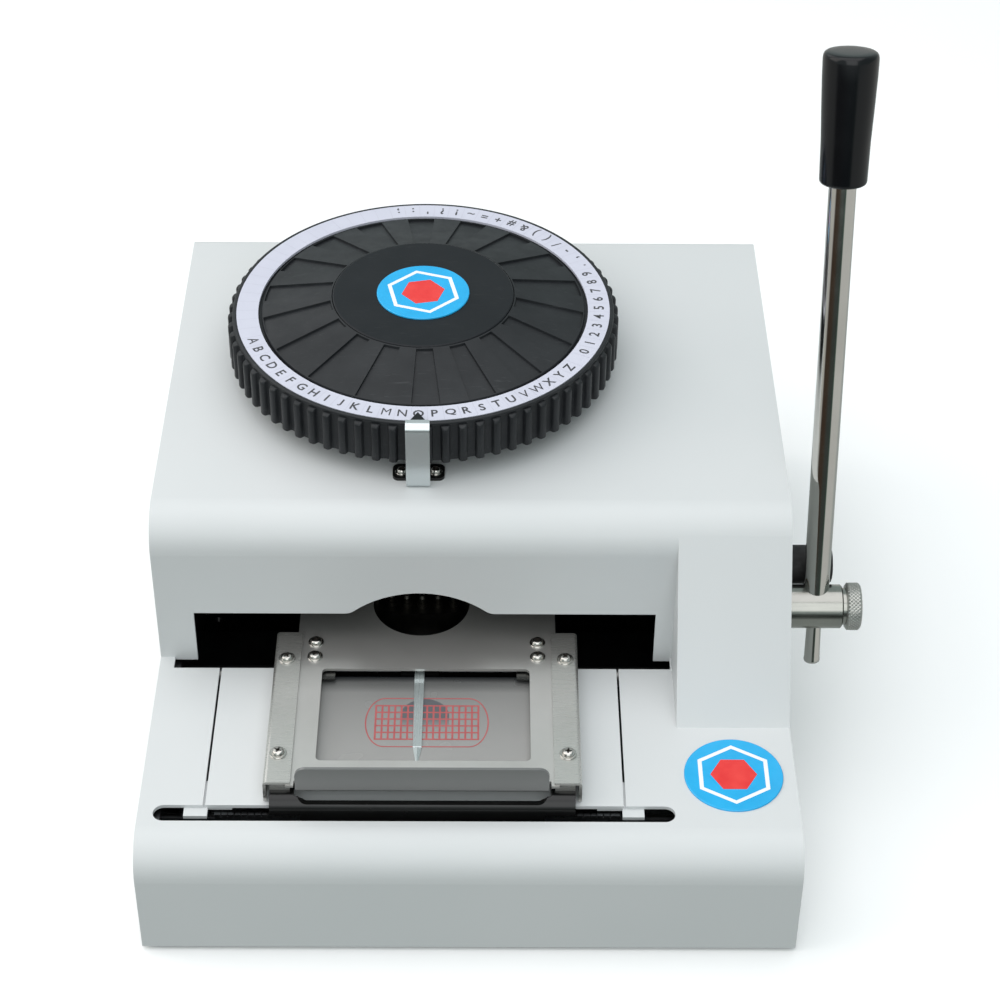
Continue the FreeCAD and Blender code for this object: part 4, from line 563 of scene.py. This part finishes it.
map_low, map_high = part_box("map_plate")
PRINT_AT = Vector((-32.6, -88.6, 0)) * MM
PRINT_Z = map_high.z + 0.14 * MM
GRID_COLUMNS = 16
GRID_ROWS = 5
GRID_X = 2.5 * MM
GRID_Y = 3.68 * MM
GRID_LINE = 0.36 * MM
OUTLINE_STRAIGHT = 16.4 * MM
OUTLINE_LINE = 0.5 * MM
END_X = 7.7 * MM
END_Y = 13.5 * MM
END_STEPS = 24
DOME_AT = PRINT_AT + Vector((-0.9, 3.5, 0)) * MM
DOME_R = 9.5 * MM
DOME_STEPS = 30
DOME_FOOT_Y = PRINT_AT.y - 4.0 * MM
DOME_DARK_Y = PRINT_AT.y + 3.0 * MM


def print_piece(name, points, faces, look):
    """Flat print that moves with the map."""
    new_piece(name, points, faces, look, "card_slide")


def build_map_grid(look):
    """Grid of character places. The upright bars run through, the others fill in between them."""
    x0 = PRINT_AT.x - GRID_COLUMNS * GRID_X / 2
    y0 = PRINT_AT.y - GRID_ROWS * GRID_Y / 2
    points = []

    def bar(xa, xb, ya, yb):
        points.extend([(xa, ya, PRINT_Z), (xb, ya, PRINT_Z), (xb, yb, PRINT_Z), (xa, yb, PRINT_Z)])

    for i in range(GRID_COLUMNS + 1):
        x = x0 + i * GRID_X
        bar(x - GRID_LINE, x + GRID_LINE, y0 - GRID_LINE, y0 + GRID_ROWS * GRID_Y + GRID_LINE)
    for j in range(GRID_ROWS + 1):
        y = y0 + j * GRID_Y
        for i in range(GRID_COLUMNS):
            x = x0 + i * GRID_X
            bar(x + GRID_LINE, x + GRID_X - GRID_LINE, y - GRID_LINE, y + GRID_LINE)
    faces = [tuple(range(first, first + 4)) for first in range(0, len(points), 4)]
    print_piece("map_grid", points, faces, look)


def build_map_outline(look):
    """Thin line round the grid, straight along its long sides and oval at its ends."""
    points = []
    for inset in (0.0, OUTLINE_LINE):
        for side, start in ((1, -90.0), (-1, 90.0)):
            for i in range(END_STEPS + 1):
                a = math.radians(start + 180.0 * i / END_STEPS)
                points.append((PRINT_AT.x + side * OUTLINE_STRAIGHT + (END_X - inset) * math.cos(a),
                               PRINT_AT.y + (END_Y - inset) * math.sin(a), PRINT_Z))
    print_piece("map_outline", points, strip_faces(2, len(points) // 2), look)


def build_press_opening_shade():
    """Painted shade of the opening under the map: a dark half-round print that shows through the film and
    fades towards the front.
    """
    z = PRINT_Z - 0.015 * MM
    turns = [math.pi * i / DOME_STEPS for i in range(DOME_STEPS + 1)]
    dome = [(DOME_AT.x + DOME_R * math.cos(a), DOME_AT.y + DOME_R * math.sin(a), z) for a in turns]
    dome += [(dome[-1][0], DOME_FOOT_Y, z), (dome[0][0], DOME_FOOT_Y, z)]
    # Painted shade, darkest over the back of the half-round and lighter towards its front.
    shade = Finish("map_shade", 0.36)
    fade = shade.spread(shade.position("Y"), 1.0, 0.0, DOME_FOOT_Y, DOME_DARK_Y)
    shade.colour(shade.blend(fade, (0.1, 0.105, 0.115), (0.26, 0.258, 0.25)))
    shade.roughness(shade.spread(shade.noise(4 * MM, detail=5.0), 0.3, 0.4))
    print_piece("map_press_opening_shade", dome, [tuple(range(len(dome)))], shade.material)


def slab_piece(name, low, high, look, body):
    """Thin plate between two corners."""
    edge = [(low.x, low.y), (high.x, low.y), (high.x, high.y), (low.x, high.y)]
    points = [(x, y, z) for z in (low.z, high.z) for x, y in edge]
    new_piece(name, points, strip_faces(2, 4) + end_faces(2, 4), look, body)


FILM_REACH = 4.4 * MM
FILM_INSET = 0.1 * MM
SLOT_FADE = 9.0 * MM
SLOPE_END = 6.0 * MM
# Near-black colour of the painted shade at the film's back edge.
SLOT_PAINTED_SHADE = (0.012, 0.014, 0.016)


def build_map_film():
    """Printed film on the map plate, with painted shade that darkens it towards its back edge, over the
    press slot.
    """
    film = Finish("map_film", 0.22)
    back = map_high.y + FILM_REACH
    y = film.position("Y")
    # Painted shade: the film darkens from front to back and turns near black over its last SLOT_FADE.
    painted_slot_shade = film.spread(y, 0.0, 1.0, back - SLOT_FADE, back)
    painted_shade_slope = film.spread(y, 0.0, 1.0, map_low.y, back - SLOPE_END)
    cloudy = film.blend(film.noise(12 * MM), (0.34, 0.338, 0.33), (0.365, 0.362, 0.352))
    film.colour(film.blend(painted_slot_shade, film.blend(painted_shade_slope, cloudy, (0.2, 0.2, 0.195)), SLOT_PAINTED_SHADE))
    film.roughness(film.spread(film.noise(20 * MM, detail=2.0), 0.24, 0.28))
    film.relief(film.noise(8 * MM, detail=1.0), 0.0006 * MM)
    low = Vector((map_low.x + FILM_INSET, map_low.y + FILM_INSET, map_high.z + 0.01 * MM))
    high = Vector((map_high.x - FILM_INSET, back, map_high.z + 0.1 * MM))
    slab_piece("map_film", low, high, film.material, "card_slide")


def build_slot_shade_strip():
    """Painted shade: a dark strip on the deck under the press, round the needle's bracket."""
    low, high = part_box("needle_bracket")
    front_left = Vector((map_low.x, low.y - 8.0 * MM, low.z))
    back_right = Vector((map_high.x, high.y, low.z + 0.3 * MM))
    slab_piece("press_slot_shade_strip", front_left, back_right, finishes["black_steel"], "base")


map_red = plain("map_red", (0.36, 0.075, 0.08), (0.43, 0.1, 0.1), 4 * MM, INK_ROUGH).material
build_map_grid(map_red)
build_map_outline(map_red)
build_press_opening_shade()
build_map_film()
build_slot_shade_strip()


# ---------------------------------------------------------------- needle

needle_low, needle_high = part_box("needle")
NEEDLE_HALF = 1.9 * MM
NEEDLE_FOOT = 46.4 * MM
NEEDLE_SHOULDER = 10.8 * MM


def build_needle():
    """Flat blade with a bent foot and a point ground to two facets."""
    x = (needle_low.x + needle_high.x) / 2
    top = needle_high.z - 0.02 * MM
    low = needle_low.z + 0.02 * MM
    tip = needle_low.y
    foot = tip + NEEDLE_FOOT
    shoulder = tip + NEEDLE_SHOULDER
    # y, share of the half width, and how many mm the side edges and the ridge lie below the top.
    rows = [(needle_high.y, 1.0, 0.1, 0.1), (foot + 1.6 * MM, 1.0, 0.1, 0.1),
            (foot + 1.4 * MM, 1.0, 0.0, 0.0), (foot, 1.0, 0.25, 0.25), (foot - 0.4 * MM, 1.0, 0.3, 0.3),
            (foot - 0.6 * MM, 1.0, 0.12, 0.12), (shoulder, 0.88, 0.12, 0.12),
            (shoulder - 0.4 * MM, 0.87, 0.45, 0.1)]
    rows = [(y, wide * NEEDLE_HALF, top - side * MM, top - ridge * MM) for y, wide, side, ridge in rows]
    rows.append((tip + 0.2 * MM, 0.05 * NEEDLE_HALF, low + 0.05 * MM, low + 0.3 * MM))
    points = []
    for y, wide, side, ridge in rows:
        left, right = x - wide, x + wide
        points += [(left, y, low), (left, y, side), (x, y, ridge), (right, y, side), (right, y, low)]
    faces = strip_faces(len(rows), 5) + end_faces(len(rows), 5)
    piece = new_piece("needle_blade", points, faces, finishes["needle_steel"], "base", 20.0)
    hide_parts("needle")


build_needle()


# ---------------------------------------------------------------- screws

def corners(places):
    """Lowest and highest corner of a list of places."""
    return (Vector([min(p[i] for p in places) for i in range(3)]),
            Vector([max(p[i] for p in places) for i in range(3)]))


def solid_boxes(node):
    """Lowest and highest corner of each separate solid of a node."""
    mesh = bmesh.new()
    mesh.from_mesh(nodes[node].data)
    bmesh.ops.remove_doubles(mesh, verts=mesh.verts, dist=0.001 * MM)
    left = set(mesh.verts)
    boxes = []
    while left:
        front = [left.pop()]
        seen = []
        while front:
            vert = front.pop()
            seen.append(vert.co.copy())
            for edge in vert.link_edges:
                other = edge.other_vert(vert)
                if other in left:
                    left.remove(other)
                    front.append(other)
        boxes.append(corners(seen))
    mesh.free()
    return sorted(boxes, key=lambda box: tuple(box[0]))


SCREW_COLUMNS = 48
# Dome of a head: radius as a share of the head's, height as a share of the head's.
SCREW_DOME = ((1.0, 0.1), (0.98, 0.35), (0.93, 0.58), (0.84, 0.78), (0.74, 0.9), (0.64, 0.97))
# Cross recess: reach in its arms, reach between them, height, as shares of the head's.
SCREW_CROSS = ((0.56, 0.3, 1.0), (0.448, 0.24, 0.3))
CROSS_ARM = 26.0
SHANK = 0.4
COLLAR_EDGE = 0.12 * MM
EASE = 0.05 * MM
FIRST_TURN = 25.0
NEXT_TURN = 37.0


def screw_head(low, high, head_r, head_h, collar_t, turn):
    """Points of one screw, row by row: shank, flat collar, dome and cross recess."""
    x, y = (low.x + high.x) / 2, (low.y + high.y) / 2
    collar_r = (high.x - low.x) / 2
    seat = high.z - head_h - collar_t
    top = seat + collar_t
    rows = [(collar_r * SHANK, low.z), (collar_r * SHANK, seat + EASE), (collar_r, seat + EASE),
            (collar_r, top - COLLAR_EDGE), (collar_r - COLLAR_EDGE, top), (head_r + EASE, top + 0.02 * MM)]
    rows += [(head_r * wide, top + head_h * rise) for wide, rise in SCREW_DOME]
    rows = [(radius, radius, z) for radius, z in rows]
    rows += [(head_r * arm, head_r * between, top + head_h * rise) for arm, between, rise in SCREW_CROSS]
    points = []
    for on_arm, between_arms, z in rows:
        for i in range(SCREW_COLUMNS):
            angle = 360.0 * i / SCREW_COLUMNS
            in_arm = abs((angle + turn) % 90.0 - 45.0) > CROSS_ARM
            radius = on_arm if in_arm else between_arms
            a = math.radians(angle)
            points.append((x + radius * math.cos(a), y + radius * math.sin(a), z))
    return points, len(rows)


def build_screws(node, body, head_r, head_h, collar_t):
    """Domed heads with a flat collar and a cross recess, one on each screw of the node."""
    points = []
    faces = []
    looks = []
    for number, (low, high) in enumerate(solid_boxes(node)):
        turn = FIRST_TURN + NEXT_TURN * number
        made, rows = screw_head(low, high, head_r * MM, head_h * MM, collar_t * MM, turn)
        foot, recess_floor = end_faces(rows, SCREW_COLUMNS)
        faces += shifted(strip_faces(rows, SCREW_COLUMNS) + [recess_floor, foot], len(points))
        # The cross recess's wall and floor take the second look, the painted shade.
        looks += [0] * (SCREW_COLUMNS * (rows - 2)) + [1] * (SCREW_COLUMNS + 1) + [0]
        points += made
    piece = new_piece(node + "_heads", points, faces, [finishes["screws"], finishes["screw_recess_shade"]],
                      body, 25.0, looks)
    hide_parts(node)


build_screws("guide_screws", "x_carriage", 2.4, 1.5, 0.5)
build_screws("clamp_screws", "card_slide", 2.4, 1.4, 0.5)
build_screws("small_screws", "base", 1.9, 1.3, 0.4)


# ---------------------------------------------------------------- lever

shaft_low, shaft_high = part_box("lever_shaft")
nut_low, nut_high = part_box("thumb_nut")
rod_low, rod_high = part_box("lever_rod")
bumper_low, bumper_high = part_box("lever_bumper")
PIVOT = (nut_low + nut_high) / 2
LEAN = math.radians(15.0)
ALONG = Vector((0, math.sin(LEAN), math.cos(LEAN)))
ROD_FOOT = Vector(((rod_low.x + rod_high.x) / 2, PIVOT.y, PIVOT.z))
ROD_LENGTH = 176.9
HUB_START = nut_low.x - 25.1 * MM
HUB_END = nut_low.x - 1.5 * MM

# Profiles in mm: distance along the axis, radius. The rod's stub ends below the hub.
ROD_PROFILE = ((-25.0, 2.1), (-24.85, 2.8), (-24.5, 3.15), (-23.9, 3.28), (-23.3, 3.28), (-22.6, 3.15),
               (-9.6, 2.97), (-4.1, 2.97), (-4.0, 5.15), (ROD_LENGTH - 0.1, 5.17), (ROD_LENGTH, 3.9),
               (ROD_LENGTH + 12.0, 3.9))
GRIP_PROFILE = ((0.0, 3.95), (0.0, 7.5), (0.12, 8.0), (0.5, 8.55), (1.0, 8.85), (1.6, 8.98), (16.2, 9.25),
                (31.1, 9.9), (41.1, 10.27), (47.3, 10.37), (48.3, 10.3), (49.0, 10.1), (49.5, 9.8),
                (49.9, 9.2), (50.1, 8.4), (50.22, 6.0), (50.26, 2.0), (50.27, 0.05))


def in_metres(profile, start=0.0):
    """Profile in mm, moved along its axis by start and turned into metres."""
    return [((start + along) * MM, radius * MM) for along, radius in profile]


def build_rod():
    profile = in_metres(ROD_PROFILE)
    piece = turned("lever_arm", profile, ROD_FOOT, ALONG, finishes["chrome"], "lever")
    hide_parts("lever_rod")


def build_grip():
    profile = in_metres(GRIP_PROFILE, ROD_LENGTH)
    look = finishes["grip_plastic"]
    piece = turned("lever_handle", profile, ROD_FOOT, ALONG, look, "lever")
    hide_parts("lever_grip")


def build_hub():
    """Shaft with the hub that holds the rod, and the thin end that carries the thumb nut."""
    shaft_r = 5.98 * MM
    neck_r = 7.46 * MM
    hub_r = 8.86 * MM
    end_r = 2.98 * MM
    profile = [(shaft_low.x, 5.5 * MM), (shaft_low.x + 0.5 * MM, shaft_r), (HUB_START - 0.01 * MM, shaft_r),
               (HUB_START + 0.02 * MM, 8.3 * MM), (HUB_START + 0.6 * MM, hub_r), (HUB_END - 0.6 * MM, hub_r),
               (HUB_END - 0.3 * MM, 8.6 * MM), (HUB_END - 0.02 * MM, 8.2 * MM), (HUB_END, neck_r),
               (nut_low.x, neck_r), (nut_low.x + 0.1 * MM, end_r), (shaft_high.x - 0.3 * MM, end_r),
               (shaft_high.x - 0.02 * MM, 2.6 * MM)]
    start = Vector((0.0, PIVOT.y, PIVOT.z))
    piece = turned("lever_hub", profile, start, (1, 0, 0), finishes["hub_steel"], "lever")
    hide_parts("lever_shaft")


TEETH = 40
PER_TOOTH = 6
KNURL_ROWS = 16
KNURL_R = 9.66 * MM
KNURL_CUT = 0.42 * MM
NUT_BORE_R = 3.1 * MM


def build_thumb_nut():
    """Nut with a fine diamond knurl between turned edges."""
    columns = TEETH * PER_TOOTH
    low, high = nut_low.x + 0.02 * MM, nut_high.x - 0.02 * MM
    face_r = KNURL_R - 1.0 * MM
    edge_r = KNURL_R - 0.5 * MM
    knurl_start = low + 0.8 * MM
    knurl_width = high - low - 1.6 * MM
    rows = [(low, NUT_BORE_R, 0), (low, face_r, 0), (low + 0.35 * MM, edge_r, 0)]
    rows += [(knurl_start + knurl_width * i / KNURL_ROWS, KNURL_R, 1) for i in range(KNURL_ROWS + 1)]
    rows += [(high - 0.35 * MM, edge_r, 0), (high, face_r, 0), (high, NUT_BORE_R, 0)]
    points = []
    for row, (x, radius, knurled) in enumerate(rows):
        for i in range(columns):
            a = 2 * math.pi * i / columns
            r = radius
            if knurled:
                one_way = abs((i + row) / PER_TOOTH % 1.0 - 0.5) * 2
                other_way = abs((i - row) / PER_TOOTH % 1.0 - 0.5) * 2
                r -= KNURL_CUT * (1 - min(one_way, other_way))
            points.append((x, PIVOT.y + r * math.cos(a), PIVOT.z + r * math.sin(a)))
    piece = new_piece("knurled_nut", points, strip_faces(len(rows), columns), finishes["nut_steel"],
                      "lever", 20.0)
    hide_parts("thumb_nut")


BUMPER_ROUND = 2.0
BUMPER_LONGER = 1.0 * MM


def build_bumper():
    """Rubber stop with a rounded end."""
    middle = (bumper_low + bumper_high) / 2
    radius = (bumper_high.z - bumper_low.z) / 2 - 0.03 * MM
    length = bumper_high.x - bumper_low.x + BUMPER_LONGER
    profile = [(0.0, 1.0 * MM), (0.02 * MM, radius), (length - BUMPER_ROUND * MM, radius)]
    for i in range(1, 7):
        a = math.radians(15.0 * i)
        back = BUMPER_ROUND * (1.0 - math.sin(a)) + 0.02
        inwards = BUMPER_ROUND * (1.0 - math.cos(a))
        profile.append((length - back * MM, radius - inwards * MM))
    profile.append((length - 0.02 * MM, 0.5 * MM))
    start = Vector((bumper_low.x, middle.y, middle.z))
    piece = turned("rubber_bumper", profile, start, (1, 0, 0), finishes["rubber"], "base")
    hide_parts("lever_bumper")


build_rod()
build_grip()
build_hub()
build_thumb_nut()
build_bumper()


# ---------------------------------------------------------------- camera and lights

CAMERA_AT = Vector((-0.009529, -0.769917, 0.732083))
PITCH = math.radians(39.526)
YAW = math.radians(0.3917)
ROLL = math.radians(0.4685)
LENS = 88.37
SENSOR = 36.0


def build_camera():
    """Camera at the photograph's place and angle."""
    ahead = Vector((math.sin(YAW) * math.cos(PITCH), math.cos(YAW) * math.cos(PITCH), -math.sin(PITCH)))
    level = Vector((math.cos(YAW), -math.sin(YAW), 0.0))
    upright = level.cross(ahead)
    right = level * math.cos(ROLL) + upright * math.sin(ROLL)
    up = upright * math.cos(ROLL) - level * math.sin(ROLL)
    data = bpy.data.cameras.new("camera")
    data.lens = LENS
    data.sensor_width = SENSOR
    camera = bpy.data.objects.new("camera", data)
    bpy.context.scene.collection.objects.link(camera)
    turn = Matrix((right, up, -ahead)).transposed().to_4x4()
    camera.matrix_world = Matrix.Translation(CAMERA_AT) @ turn
    bpy.context.scene.camera = camera


# Name, place, side in metres, power in watts, colour.
LIGHTS = (("overhead", (0.0, 0.0, 1.5), 1.6, 11.9, (1.0, 0.95, 0.98)),
          ("left", (-1.4, 0.0, 1.1), 1.4, 10.0, (1.0, 0.9, 0.87)),
          ("front", (0.0, -1.4, 1.1), 1.4, 9.7, (1.0, 0.99, 1.0)),
          ("back", (-0.9, 1.2, 1.1), 0.9, 2.4, (1.0, 0.92, 0.94)))
AIM = Vector((0, 0, 0.1))


def area_light(name, place, side, power, colour):
    """Square light aimed at the middle of the object."""
    data = bpy.data.lights.new(name, "AREA")
    data.shape = "SQUARE"
    data.size = side
    data.energy = power
    data.color = colour
    light = bpy.data.objects.new(name, data)
    bpy.context.scene.collection.objects.link(light)
    light.location = place
    light.rotation_euler = (AIM - Vector(place)).to_track_quat("-Z", "Y").to_euler()


FLOOR_HALF = 8.0


def build_floor():
    """Pale floor that neither lights the object nor shows in its metal."""
    paint = plain("floor", (0.96, 0.96, 0.96), (0.98, 0.98, 0.98), 0.5, (0.7, 0.8), Specular_IOR_Level=0.1)
    mesh = bpy.data.meshes.new("floor")
    corner_signs = ((-1, -1), (1, -1), (1, 1), (-1, 1))
    mesh.from_pydata([(FLOOR_HALF * i, FLOOR_HALF * j, 0) for i, j in corner_signs], [], [(0, 1, 2, 3)])
    mesh.materials.append(paint.material)
    ground = bpy.data.objects.new("floor", mesh)
    ground.visible_glossy = False
    ground.visible_diffuse = False
    bpy.context.scene.collection.objects.link(ground)


# ---------------------------------------------------------------- world

PALE_BACK = (0.64, 0.65, 0.63)
SILVER = (0.56, 0.56, 0.53)
UMBER = (0.06, 0.042, 0.03)
DARK = (0.05, 0.06, 0.055)
GREEN = (0.05, 0.095, 0.075)
# Bands round the room, by bearing in degrees: 0 is on the operator's side and 90 on the right.
ROOM_BANDS = ((-180, PALE_BACK), (-90, SILVER), (-64, SILVER), (-54, UMBER), (-26, UMBER), (-6, DARK),
              (16, DARK), (18, GREEN), (23, GREEN), (28, PALE_BACK))
LEFT_ABOVE = (0.6, 0.69, 0.68)
RIGHT_ABOVE = (0.34, 0.41, 0.41)
FAR_BELOW = (0.42, 0.46, 0.45)


def build_world():
    """Pale room above, brighter on the left; below the horizon the dark and pale bands of a studio."""
    world = bpy.data.worlds.new("world")
    bpy.context.scene.world = world
    world.use_nodes = True
    tree = world.node_tree
    background = tree.nodes["Background"]
    background.inputs["Strength"].default_value = 1.0

    def ranged(source, start, end):
        node = tree.nodes.new("ShaderNodeMapRange")
        node.inputs["From Min"].default_value = start
        node.inputs["From Max"].default_value = end
        tree.links.new(source, node.inputs["Value"])
        return node.outputs["Result"]

    def ramp(source, stops):
        node = tree.nodes.new("ShaderNodeValToRGB")
        bar = node.color_ramp.elements
        while len(bar) < len(stops):
            bar.new(1.0)
        for element, (place, colour) in zip(bar, stops):
            element.position = place
            element.color = (*colour, 1.0)
        tree.links.new(source, node.inputs["Fac"])
        return node.outputs["Color"]

    def math_node(operation, first, second):
        node = tree.nodes.new("ShaderNodeMath")
        node.operation = operation
        tree.links.new(first, node.inputs[0])
        if isinstance(second, float):
            node.inputs[1].default_value = second
        else:
            tree.links.new(second, node.inputs[1])
        return node.outputs[0]

    split = tree.nodes.new("ShaderNodeSeparateXYZ")
    tree.links.new(tree.nodes.new("ShaderNodeTexCoord").outputs["Generated"], split.inputs["Vector"])
    ahead = math_node("MULTIPLY", split.outputs["Y"], -1.0)
    bearing = math_node("ARCTAN2", split.outputs["X"], ahead)
    room = ramp(ranged(bearing, -math.pi, math.pi), [(a / 360.0 + 0.5, colour) for a, colour in ROOM_BANDS])
    above = ramp(ranged(split.outputs["X"], -1.0, 1.0), [(0.0, LEFT_ABOVE), (1.0, RIGHT_ABOVE)])
    below = mixed_colour(tree, ranged(split.outputs["Z"], -0.5, -0.4), FAR_BELOW, room)
    shown = mixed_colour(tree, ranged(split.outputs["Z"], -0.03, 0.03), below, above)
    tree.links.new(shown, background.inputs["Color"])


build_camera()
build_world()
build_floor()
for light in LIGHTS:
    area_light(*light)
bpy.context.scene.view_settings.view_transform = "Standard"
